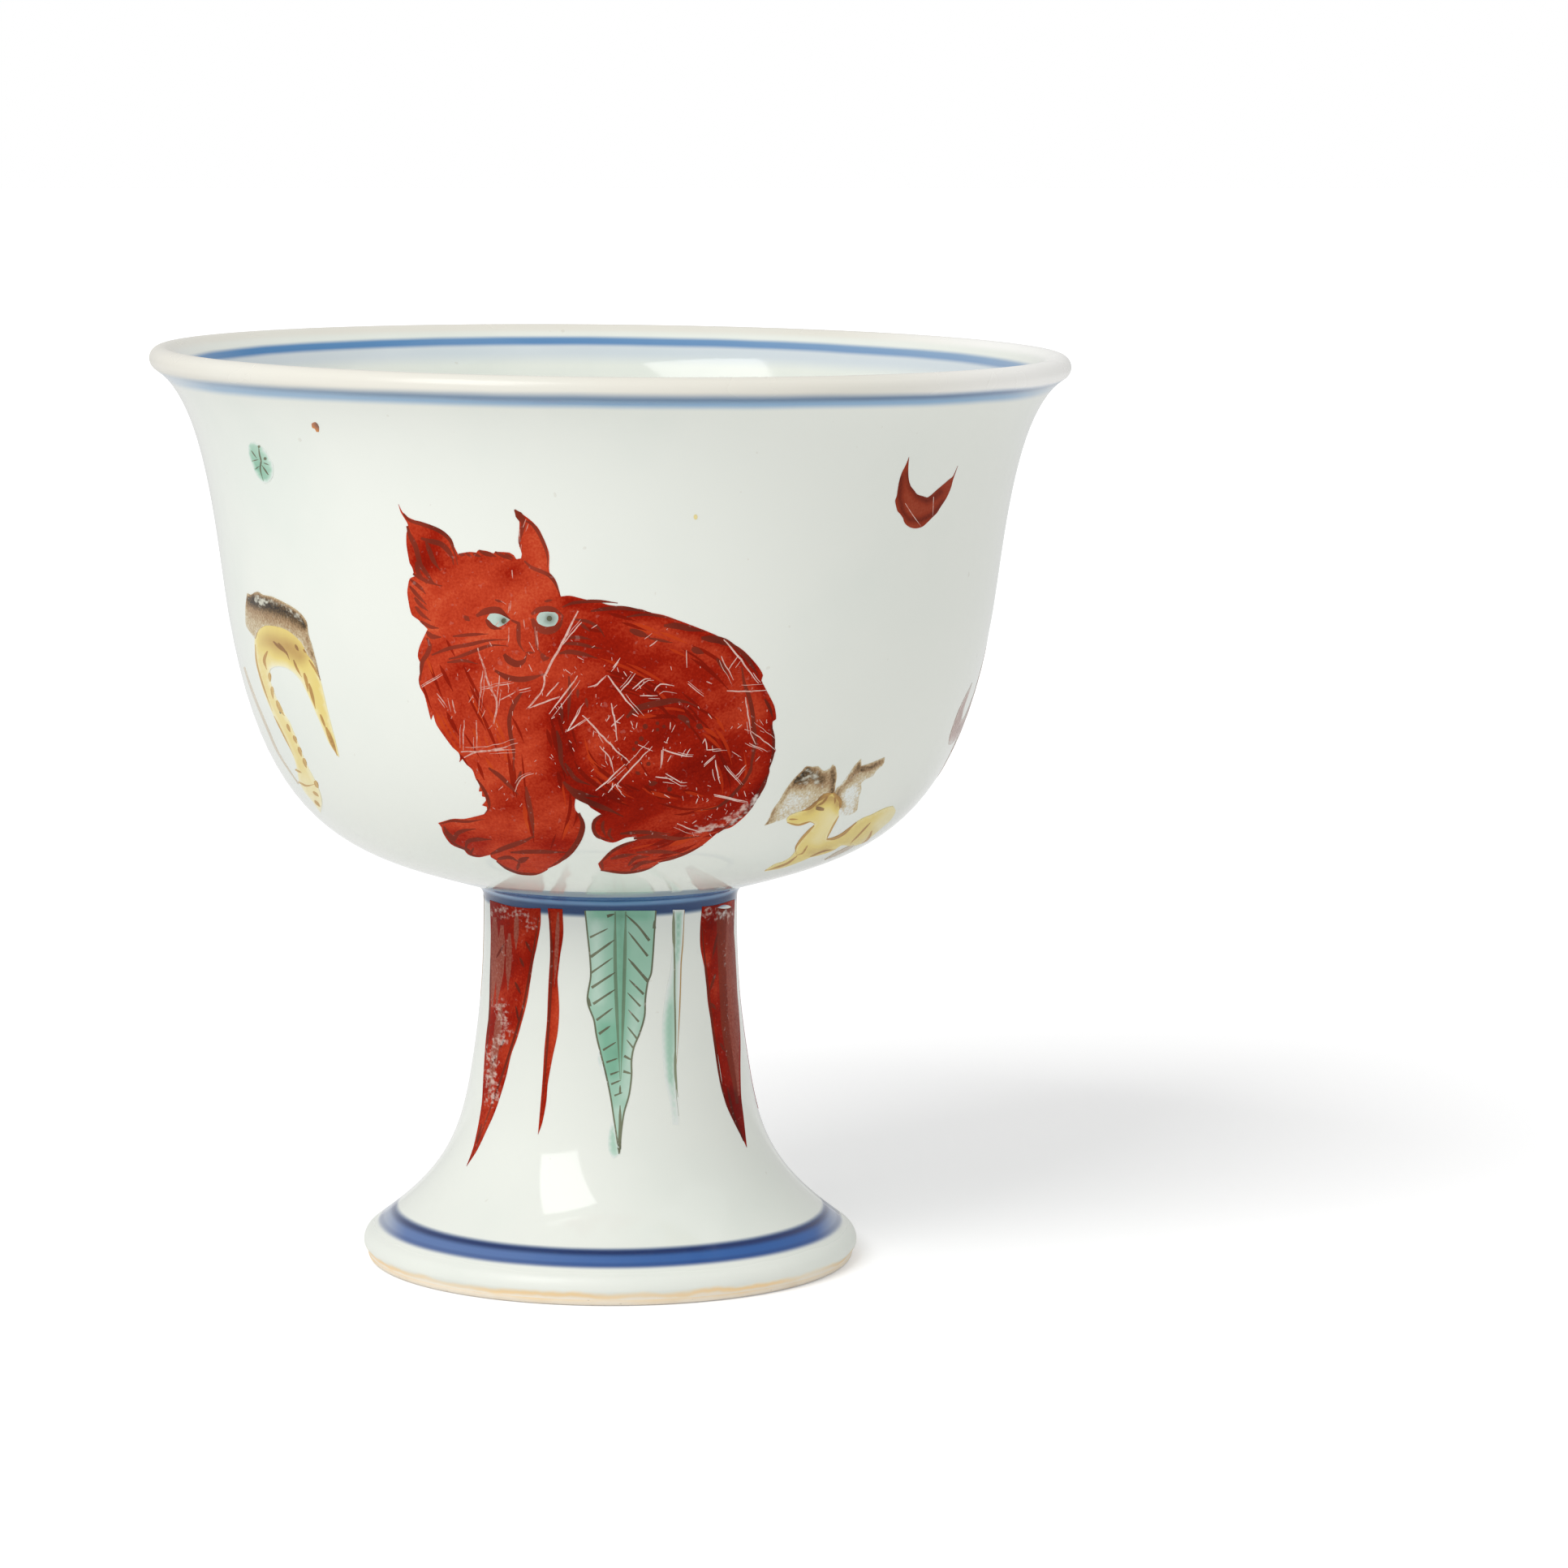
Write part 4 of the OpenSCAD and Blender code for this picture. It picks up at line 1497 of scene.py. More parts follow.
@dataclass
class SkyMarks:
    """Crescent moon, star and a few specks above the figures."""

    painter: Painter
    moon: Outline = pixels(
        1120, 563, 1119, 574, 1119, 586, 1120, 593, 1122, 599, 1126, 604, 1130, 609, 1136, 611, 1143, 613,
        1146, 611, 1154, 604, 1161, 598, 1168, 592, 1174, 587, 1177, 581, 1180, 574, 1174, 591, 1172, 599,
        1169, 607, 1165, 615, 1159, 624, 1154, 632, 1149, 637, 1142, 644, 1136, 649, 1128, 651, 1122, 650,
        1117, 647, 1114, 643, 1113, 639, 1109, 633, 1106, 630, 1104, 623, 1103, 617, 1105, 611, 1106, 604,
        1108, 593, 1111, 583, 1116, 573,
    )
    moon_edges: tuple[Outline, ...] = (
        pixels(1120, 584, 1123, 601, 1130, 611, 1142, 617, 1150, 613, 1158, 606),
        pixels(1110, 588, 1108, 611, 1112, 630, 1120, 640, 1134, 641, 1150, 633, 1162, 618),
    )
    star: Outline = pixels(
        312, 544, 317, 547, 323, 550, 328, 556, 332, 564, 336, 571, 337, 579, 336, 587, 332, 593, 327, 595,
        322, 592, 317, 587, 313, 579, 310, 570, 307, 562, 306, 554, 307, 547,
    )
    star_brush: tuple[Row, ...] = (
        (2, 319, 550, 320, 559, 322, 568, 321, 577, 323, 586, 325, 593), (2, 331, 585, 327, 579, 323, 573),
        (1.4, 310, 555, 317, 565), (1.4, 311, 568, 319, 566), (1.4, 325, 570, 332, 573),
        (1.4, 315, 578, 320, 574),
    )

    def build(self) -> None:
        """Lays the marks."""
        moon = Film("moon", "iron_red_enamel", [(Paint.RED_DULL, self.moon)], tone=0.44, step=2.5, grid=3)
        moon.shades = tuple(Shade(0.45, reach, edge) for reach, edge in zip((4.5, 3.5), self.moon_edges))
        moon.strokes += [
            Stroke(Paint.SCRATCH, 0.9, ((1115, 620), (1124, 634), (1135, 649)), 0.9),
            Stroke(Paint.SCRATCH, 0.7, ((1150, 612), (1149, 636)), 0.9),
        ]
        self.painter.lay(moon)
        star = Film("star", "green_enamel", [(Paint.GREEN, self.star)], tone=0.5, step=2.5, grid=5)
        star.strokes += lines(Paint.GREEN_LINE, self.star_brush)
        star.patches += [(Paint.GREEN_LINE, dot((319.5, 550), 1.7)), (Paint.GREEN_LINE, dot((327, 565), 2.0))]
        star.bleed = 2.5
        star.shades = shaded((-0.1, 4, 312, 545, 334, 575), (0.1, 7, 318, 575, 321, 584))
        self.painter.lay(star)
        rust = pixels(384, 522, 388, 520, 391, 522, 393, 526, 393, 532, 390, 532, 388, 528, 385, 527)
        specks = Film("specks", "brown_black_enamel", [(Paint.DOT, rust)], step=2, grid=3)
        specks.patches += [(Paint.YELLOW, dot((857, 637), 2.4, 3.2))]
        specks.shades = shaded(
            (0.5, 2, 390, 522, 392, 526), (-0.3, 2, 385, 527, 391, 532), (-0.12, 4, 857, 637, 858, 637),
        )
        self.painter.lay(specks)


@dataclass
class ArchedSprig:
    """Yellow arch with a brown-black cap at the left."""

    painter: Painter
    cap: Outline = pixels(
        303, 748, 305, 731, 309, 733, 317, 729, 324, 733, 335, 735, 357, 746, 366, 752, 374, 760, 378, 767,
        380, 781, 384, 794, 390, 817, 395, 839, 387, 817, 379, 806, 372, 792, 357, 778, 343, 772, 326, 771,
        318, 778, 315, 787, 312, 783, 304, 771, 303, 760,
    )
    arms: Outline = pixels(
        315, 780, 322, 768, 343, 764, 357, 770, 372, 782, 380, 800, 387, 813, 396, 842, 404, 876, 414, 915,
        418, 933, 406, 916, 393, 886, 378, 852, 370, 838, 362, 829, 353, 823, 343, 821, 334, 824, 332, 832,
        334, 842, 341, 861, 351, 880, 357, 890, 370, 922, 378, 942, 385, 955, 393, 972, 397, 989,
        395, 1001, 385, 987, 376, 976, 369, 963, 364, 938, 353, 913, 343, 894, 325, 852, 319, 829,
        315, 809, 314, 792,
    )
    brush: tuple[Row, ...] = (
        (1.6, 315, 787, 318, 776, 326, 770, 336, 768, 343, 773),
        (2.2, 337, 790, 345, 798, 353, 804, 357, 813), (1.8, 343, 792, 355, 806),
        (2.2, 364, 794, 368, 802), (2.2, 374, 800, 379, 805), (1.8, 381, 813, 389, 825, 395, 838),
        (1.8, 362, 813, 366, 823, 372, 834), (2.6, 375, 829, 378, 840, 380, 852),
        (2.6, 381, 842, 385, 857, 389, 873), (2.4, 330, 802, 326, 813, 329, 825),
        (2.2, 332, 829, 333, 840), (2.4, 335, 846, 337, 861), (2.8, 341, 863, 345, 873, 351, 882),
        (2.4, 354, 892, 358, 902), (2.4, 362, 906, 366, 916), (2.6, 368, 920, 372, 932),
        (2.6, 374, 934, 378, 946), (3, 388, 962, 392, 971), (2.4, 386, 975, 393, 981),
        (2.4, 388, 986, 395, 994), (1.6, 368, 963, 378, 968, 388, 966), (1.6, 364, 948, 372, 952),
        (3.4, 402, 896, 408, 911, 416, 931), (2, 395, 880, 402, 898),
        (1.4, 315, 794, 316, 812, 320, 830, 327, 852, 336, 876),
        (1.2, 338, 882, 347, 900, 355, 916, 362, 930),
    )
    trace: Outline = pixels(
        301, 822, 306, 838, 314, 860, 323, 882, 331, 901, 342, 926, 357, 950, 368, 966,
    )

    def build(self) -> None:
        """Lays the arch, then its cap."""
        arms = Film("sprig_arms", "yellow_enamel", [(Paint.YELLOW, self.arms)], tone=0.55, step=3, grid=5)
        arms.strokes += lines(Paint.TAWNY, self.brush, 1.5)
        arms.patches += [(Paint.GREEN_LINE, dot((346, 876), 1.6, 3.4))]
        arms.bleed, arms.fringe = 3, 0.5
        arms.shades = shaded(
            (0.34, 12, 330, 790, 358, 798, 370, 808), (-0.34, 7, 338, 822, 350, 822, 362, 830, 372, 843),
            (-0.16, 12, 378, 960, 396, 996), (0.25, 6, 410, 912, 417, 931),
        )
        self.painter.lay(arms)
        cap = Film("sprig_cap", "brown_black_enamel", [(Paint.BROWN, self.cap)], tone=0.42, step=3, grid=4)
        cap.shades = shaded(
            (0.5, 8, 305, 738, 318, 742, 340, 748, 362, 758, 375, 768),
            (0.25, 3, 378, 770, 382, 790, 394, 836), (-0.12, 8, 310, 768, 345, 776, 372, 800),
        )
        cap.wears = shaded((0.66, 6, 316, 736, 322, 743), (0.56, 6, 330, 739, 348, 746, 364, 756, 374, 766))
        cap.lift = 0.05
        cap.bleed, cap.fringe = 2, 0.6
        self.painter.lay(cap)
        trace = Stroke(Paint.TRACE, 2.4, self.trace, 0.7, 0.5)
        self.painter.lay(Film("sprig_trace", "brown_black_enamel", [], [trace], tone=0.35))


@dataclass
class RecliningDeer:
    """Yellow deer that lies at the right, between brown-black leaves."""

    painter: Painter
    body: Outline = pixels(
        969, 1010, 972, 1005, 981, 1001, 991, 998, 998, 995, 1005, 990, 1012, 984, 1017, 979, 1026, 978,
        1033, 985, 1037, 990, 1033, 999, 1033, 1005, 1029, 1012, 1025, 1019, 1020, 1027, 1018, 1034,
        1026, 1033, 1034, 1029, 1045, 1021, 1055, 1013, 1063, 1008, 1073, 1004, 1083, 999, 1092, 995,
        1100, 993, 1103, 998, 1101, 1004, 1096, 1011, 1089, 1017, 1081, 1024, 1069, 1034, 1061, 1039,
        1049, 1042, 1037, 1041, 1029, 1046, 1020, 1050, 1010, 1053, 998, 1056, 991, 1059, 981, 1063,
        970, 1067, 959, 1070, 942, 1073, 954, 1065, 966, 1061, 975, 1055, 980, 1048, 982, 1042, 986, 1035,
        992, 1027, 999, 1021, 1004, 1015, 998, 1012, 991, 1015, 982, 1016, 975, 1016, 970, 1013,
    )
    brush: tuple[Row, ...] = (
        (2.4, 970, 1013, 983, 1016, 998, 1012, 1004, 1015),
        (2.4, 1003, 1017, 996, 1024, 987, 1034, 980, 1045, 981, 1052),
        (2.6, 982, 1054, 970, 1063, 954, 1069, 943, 1072), (2.2, 1033, 1005, 1025, 1019, 1018, 1034),
        (3, 1018, 1034, 1027, 1033, 1039, 1027, 1055, 1013),
        (2.2, 1072, 1013, 1057, 1029, 1048, 1038, 1047, 1041), (2.2, 998, 1055, 1015, 1048, 1029, 1046),
        (2.2, 995, 1041, 988, 1051, 981, 1053), (2.6, 1074, 1023, 1069, 1033, 1061, 1039),
        (3.6, 1009, 985, 998, 995, 988, 999), (2, 972, 1009, 983, 1009), (3, 1036, 984, 1034, 996),
    )
    crown: tuple[Row, ...] = (
        (4.4, 1007, 987, 1016, 980, 1027, 977), (4.4, 1026, 977, 1034, 985, 1036, 995),
        (2.8, 1020, 980, 1013, 989, 1004, 993), (2.8, 1029, 980, 1028, 990),
    )
    left_leaf: Outline = pixels(
        994, 944, 988, 950, 978, 960, 968, 973, 960, 987, 952, 998, 947, 1010, 942, 1017, 957, 1012,
        969, 1007, 981, 1000, 993, 997, 1009, 990, 1017, 986, 1028, 987, 1029, 968, 1031, 956, 1029, 944,
        1026, 942, 1022, 947, 1015, 950, 1012, 948, 1008, 944, 1001, 945,
    )
    right_leaf: Outline = pixels(
        1026, 986, 1031, 971, 1035, 968, 1045, 955, 1054, 942, 1061, 935, 1061, 944, 1073, 940, 1090, 933,
        1088, 942, 1080, 949, 1075, 956, 1065, 961, 1061, 965, 1061, 973, 1058, 982, 1057, 991, 1055, 999,
        1046, 1004, 1039, 1004, 1033, 999, 1034, 992, 1030, 990,
    )

    def build(self) -> None:
        """Lays the leaves, then the deer."""
        leaves = Film(
            "deer_leaves", "brown_black_enamel",
            [(Paint.BROWN, self.left_leaf), (Paint.BROWN, self.right_leaf)], tone=0.27, step=3, grid=4,
        )
        leaves.shades = shaded(
            (0.4, 4, 994, 946, 978, 962, 966, 977, 953, 998, 946, 1013),
            (0.5, 11, 986, 962, 998, 954, 1012, 960), (-0.16, 14, 960, 1002, 976, 988),
            (-0.2, 11, 1050, 978, 1044, 1000), (0.6, 5, 1027, 946, 1028, 960, 1026, 978),
            (0.42, 6, 1032, 976, 1046, 960, 1058, 942), (0.45, 4, 1062, 948, 1074, 944, 1088, 936),
            (0.06, 10, 985, 1000, 1005, 986, 1012, 970), (0.25, 2.5, 1062, 964, 1060, 980, 1056, 996),
            (0.45, 5, 1028, 984, 1037, 991),
        )
        leaves.bleed, leaves.fringe = 2, 0.5
        leaves.wears = shaded((0.54, 13, 988, 962, 1000, 954, 1010, 964), (0.4, 6, 1066, 948, 1050, 958))
        self.painter.lay(leaves)
        body = Film("deer", "yellow_enamel", [(Paint.YELLOW, self.body)], tone=0.6, step=3, grid=4, lift=0.05)
        body.strokes += lines(Paint.TAWNY, self.brush + self.crown)
        body.strokes += lines(Paint.TRACE, ((3.6, 1052, 1041, 1034, 1050, 1016, 1059),))
        body.strokes += [Stroke(Paint.YELLOW_LINE, 5.0, ((1005, 995), (1010, 996), (1015, 997)), 0.8, 0.4)]
        body.bleed, body.fringe = 3, 0.75
        body.shades = shaded(
            (0.4, 8, 996, 993, 1012, 984, 1030, 982, 1035, 994), (-0.2, 10, 1026, 1008, 1008, 1034),
            (-0.28, 9, 1098, 1000, 1084, 1016), (0.16, 8, 1000, 1050, 1016, 1046),
        )
        self.painter.lay(body)


@dataclass
class StemLeaves:
    """Red and green leaves that hang from the collar all round the stem."""

    painter: Painter
    red_wide: Outline = pixels(
        604, 1109, 605, 1151, 604, 1198, 603, 1245, 599, 1280, 596, 1323, 594, 1358, 589, 1389, 583, 1415,
        575, 1437, 588, 1417, 599, 1394, 609, 1372, 617, 1349, 624, 1325, 630, 1299, 637, 1280, 643, 1259,
        649, 1236, 653, 1212, 657, 1186, 662, 1163, 666, 1139, 666, 1119, 650, 1119, 632, 1117, 616, 1113,
    )
    red_thin: Outline = pixels(
        675, 1119, 677, 1141, 678, 1174, 676, 1212, 674, 1259, 671, 1292, 669, 1325, 666, 1363, 663, 1398,
        668, 1384, 673, 1358, 675, 1335, 681, 1302, 687, 1273, 689, 1245, 688, 1222, 687, 1207, 690, 1179,
        694, 1151, 693, 1120,
    )
    red_right: Outline = pixels(
        865, 1117, 863, 1139, 863, 1167, 869, 1198, 872, 1233, 877, 1264, 884, 1297, 889, 1328, 893, 1356,
        905, 1384, 916, 1405, 920, 1414, 916, 1377, 913, 1351, 912, 1316, 912, 1280, 910, 1245, 906, 1198,
        904, 1151, 905, 1108, 890, 1113, 877, 1116,
    )
    green_wide: Outline = pixels(
        721, 1122, 724, 1151, 727, 1179, 728, 1203, 724, 1233, 732, 1257, 735, 1276, 740, 1297, 746, 1321,
        752, 1349, 756, 1375, 763, 1422, 766, 1389, 769, 1370, 775, 1349, 778, 1325, 778, 1306, 781, 1290,
        788, 1273, 794, 1252, 795, 1231, 798, 1210, 802, 1200, 804, 1181, 806, 1151, 808, 1122,
    )
    green_veins: tuple[Row, ...] = (
        (3.4, 771, 1127, 786, 1141, 800, 1159), (3, 774, 1148, 798, 1178), (4, 774, 1181, 798, 1209),
        (3, 775, 1207, 793, 1225), (2.6, 773, 1223, 789, 1240), (2.6, 774, 1244, 787, 1259),
        (2.6, 773, 1265, 785, 1280), (2.4, 772, 1281, 780, 1291), (3.4, 778, 1306, 769, 1301),
        (3.4, 778, 1323, 768, 1320), (4, 757, 1126, 748, 1129), (2.6, 749, 1144, 727, 1155),
        (3.6, 757, 1158, 728, 1179), (2.6, 755, 1180, 728, 1199), (3.4, 758, 1198, 729, 1217),
        (3.2, 758, 1219, 731, 1237), (3, 755, 1242, 735, 1257), (3.4, 752, 1264, 738, 1274),
        (2.6, 759, 1284, 743, 1294), (2.6, 761, 1304, 747, 1309), (2.6, 763, 1320, 752, 1324),
        (2.6, 765, 1331, 753, 1336), (2.4, 767, 1346, 757, 1350), (4, 806, 1134, 806, 1144),
        (4, 725, 1229, 727, 1240), (4.4, 764, 1362, 764, 1385, 763, 1416), (3, 764, 1337, 764, 1348),
    )
    green_ribs: tuple[Row, ...] = (
        (4.2, 758, 1123, 758, 1191, 761, 1269, 764, 1330),
        (4.2, 771, 1123, 770, 1174, 768, 1245, 765, 1330),
    )
    green_smears: tuple[Outline, ...] = (
        pixels(738, 1292, 736, 1304, 740, 1318, 748, 1334, 752, 1349, 746, 1321),
        pixels(755, 1378, 750, 1396, 750, 1418, 756, 1428, 764, 1422, 760, 1400),
    )
    thin_green: Outline = pixels(
        829, 1121, 829, 1160, 826, 1195, 820, 1226, 816, 1260, 816, 1296, 819, 1330, 825, 1358, 829, 1386,
        836, 1386, 835, 1347, 834, 1316, 837, 1269, 838, 1222, 839, 1186, 841, 1163, 843, 1121,
    )
    thin_brush: tuple[Row, ...] = (
        (2.4, 830, 1122, 830, 1151, 831, 1191, 831, 1222, 832, 1269, 832, 1316, 833, 1347, 836, 1375),
        (1.6, 843, 1122, 841, 1163, 839, 1186, 838, 1222, 836, 1269, 833, 1316),
    )
    red_back: Outline = pixels(
        716, 1116, 717, 1160, 722, 1220, 731, 1290, 744, 1360, 758, 1424, 766, 1370, 776, 1300, 784, 1230,
        788, 1170, 789, 1116,
    )
    back_turn: float = 182.0
    green_turns: tuple[float, ...] = (111.0, -114.0)
    thin_red_turns: tuple[float, ...] = (120.0, -120.0)
    thin_green_turns: tuple[float, ...] = (116.0, -123.0)

    def films(self) -> list[tuple[Film, tuple[float, ...]]]:
        """Each leaf in the photograph, with the turns at which it comes again out of sight."""
        red, leaf = "iron_red_enamel", "green_enamel"
        wide = Film("leaf_red_wide", red, [(Paint.RED, self.red_wide)], tone=0.62, grid=6)
        # Veil strokes down the left half: thin brownish enamel with a painted reflection haze over it.
        wide.strokes += lines(Paint.RED_VEIL, (
            (10, 610, 1130, 609, 1180, 607, 1238), (9, 619, 1140, 617, 1190, 612, 1240),
            (7, 628, 1150, 626, 1220), (9, 618, 1236, 611, 1290, 602, 1352), (6, 637, 1126, 636, 1170),
        ))
        wide.strokes += lines(Paint.RED_LINE, (
            (3, 664, 1130, 656, 1180, 645, 1240, 624, 1310, 592, 1400, 578, 1432),
            (3.6, 641, 1180, 646, 1192), (3.4, 648, 1160, 655, 1174), (3.4, 635, 1210, 642, 1225),
            (2.6, 612, 1180, 622, 1162), (2.2, 605, 1180, 604, 1240, 598, 1320), (2.6, 636, 1240, 640, 1262),
            (3, 594, 1385, 587, 1412), (3, 622, 1280, 616, 1292), (2.6, 612, 1300, 606, 1312),
        ))
        wide.shades = shaded(
            (0.1, 12, 655, 1165, 648, 1200, 638, 1250), (-0.3, 8, 604, 1360, 594, 1392),
            (-0.25, 5, 652, 1220, 646, 1245),
        )
        wide.wears = shaded(
            (0.52, 18, 612, 1124, 640, 1126, 656, 1140), (0.4, 12, 626, 1160, 614, 1196),
            (0.55, 17, 616, 1240, 624, 1268, 606, 1296, 606, 1356), (0.4, 8, 588, 1404, 582, 1424),
        )
        thin = Film("leaf_red_thin", red, [(Paint.RED, self.red_thin)], tone=0.68, grid=5)
        # Veil stroke down the right edge: thin enamel with a painted reflection haze over it.
        thin.strokes += lines(Paint.RED_VEIL, ((5, 688, 1124, 686, 1170, 683, 1216),))
        thin.strokes += lines(Paint.RED_LINE, ((3.4, 677, 1122, 680, 1180, 677, 1250, 672, 1320, 667, 1376),))
        thin.shades = shaded((-0.14, 5, 687, 1222, 686, 1270, 680, 1312))
        right = Film("leaf_red_right", red, [(Paint.RED, self.red_right)], tone=0.76, grid=6)
        # Painted reflection: the broad dull stroke and the veil stroke down the leaf's right side, near x 890
        # to 910, lay the greyish sheen of light reflected down the stem.
        right.strokes += lines(Paint.RED_DULL, ((22, 892, 1118, 896, 1200, 901, 1290, 908, 1360),), start=0.9)
        right.strokes += lines(Paint.RED_VEIL, (
            (13, 898, 1124, 901, 1200, 905, 1280, 910, 1350),
        ))
        right.strokes += lines(Paint.RED_LINE, (
            (2.6, 864, 1140, 870, 1200, 880, 1280, 892, 1350, 916, 1406), (3, 884, 1150, 877, 1182),
            (3.4, 881, 1200, 874, 1222), (4.4, 876, 1236, 882, 1244), (3.4, 887, 1285, 893, 1296),
            (3.2, 896, 1340, 904, 1376, 916, 1404),
        ))
        right.shades = shaded((-0.15, 7, 872, 1180, 884, 1270), (0.25, 8, 902, 1350, 914, 1400))
        # The second wear, down x 890 to 896, is painted reflection as well: it pales the red where the sheen
        # runs.
        right.wears = shaded((0.54, 16, 868, 1124, 900, 1128), (0.4, 8, 890, 1160, 893, 1180, 896, 1300))
        back = Film("leaf_red_back", red, [(Paint.RED, self.red_back)], tone=0.66, grid=7)
        back.turn = self.back_turn
        edges = ((self.red_back[0], *self.red_back[2:6]), (self.red_back[-1], *self.red_back[-3:4:-1]))
        back.strokes += [Stroke(Paint.RED_LINE, 3.0, edge) for edge in edges]
        back.strokes += lines(Paint.RED_LINE, (
            *[(3.2, 770, y, 758, y + 16) for y in range(1150, 1340, 32)],
            *[
                (3.2, 730 + (y - 1150) // 14, y, 742 + (y - 1150) // 14, y + 14)
                for y in range(1150, 1320, 32)
            ],
        ))
        back.wears = shaded((0.52, 18, 726, 1126, 780, 1128), (0.5, 14, 748, 1250, 758, 1310))
        green = Film("leaf_green_wide", leaf, [(Paint.GREEN, self.green_wide)], tone=0.52, grid=7, depth=0.09)
        green.strokes += lines(Paint.GREEN_RIB, self.green_ribs)
        sides = (self.green_wide[:12], self.green_wide[:10:-1])
        green.strokes += [Stroke(Paint.GREEN_LINE, 2.2, side, 0.9, 0.1) for side in sides]
        green.strokes += lines(Paint.GREEN_LINE, self.green_veins, 0.8, start=0.3, thin=-0.3)
        green.shades = shaded(
            (0.18, 7, 764, 1126, 765, 1240, 764, 1300), (0.2, 12, 746, 1268, 754, 1316),
            (0.2, 9, 736, 1126, 796, 1126), (-0.2, 8, 788, 1236, 776, 1300, 772, 1350),
            (-0.25, 9, 734, 1140, 736, 1230), (-0.2, 9, 762, 1370, 764, 1400),
        )
        smear = Film(
            "leaf_smear", leaf, [(Paint.GREEN, line) for line in self.green_smears],
            tone=0.34, grid=4, depth=0.05,
        )
        smear.bleed = 4
        slim = Film("leaf_green_thin", leaf, [(Paint.GREEN, self.thin_green)], tone=0.3, grid=5, depth=0.08)
        slim.strokes += lines(Paint.GREEN_LINE, self.thin_brush[:1], 0.9)
        slim.strokes += lines(Paint.YELLOW_LINE, self.thin_brush[1:])
        slim.strokes += lines(Paint.GREEN_LINE, (
            (3.4, 830, 1124, 830, 1150, 831, 1180), (3.2, 832, 1290, 832, 1322, 835, 1352),
        ))
        slim.bleed, slim.fringe = 7, 0.15
        slim.shades = shaded((0.3, 5, 836, 1124, 835, 1180), (0.2, 6, 825, 1240, 826, 1330))
        return [
            (smear, ()), (wide, ()), (thin, self.thin_red_turns), (right, ()), (back, ()),
            (green, self.green_turns), (slim, self.thin_green_turns),
        ]

    def build(self) -> None:
        """Lays every leaf."""
        for film, turns in self.films():
            self.painter.lay(film)
            for i, turn in enumerate(turns):
                self.painter.lay(replace(film, turn=turn, name=f"{film.name}_{i + 2}"))


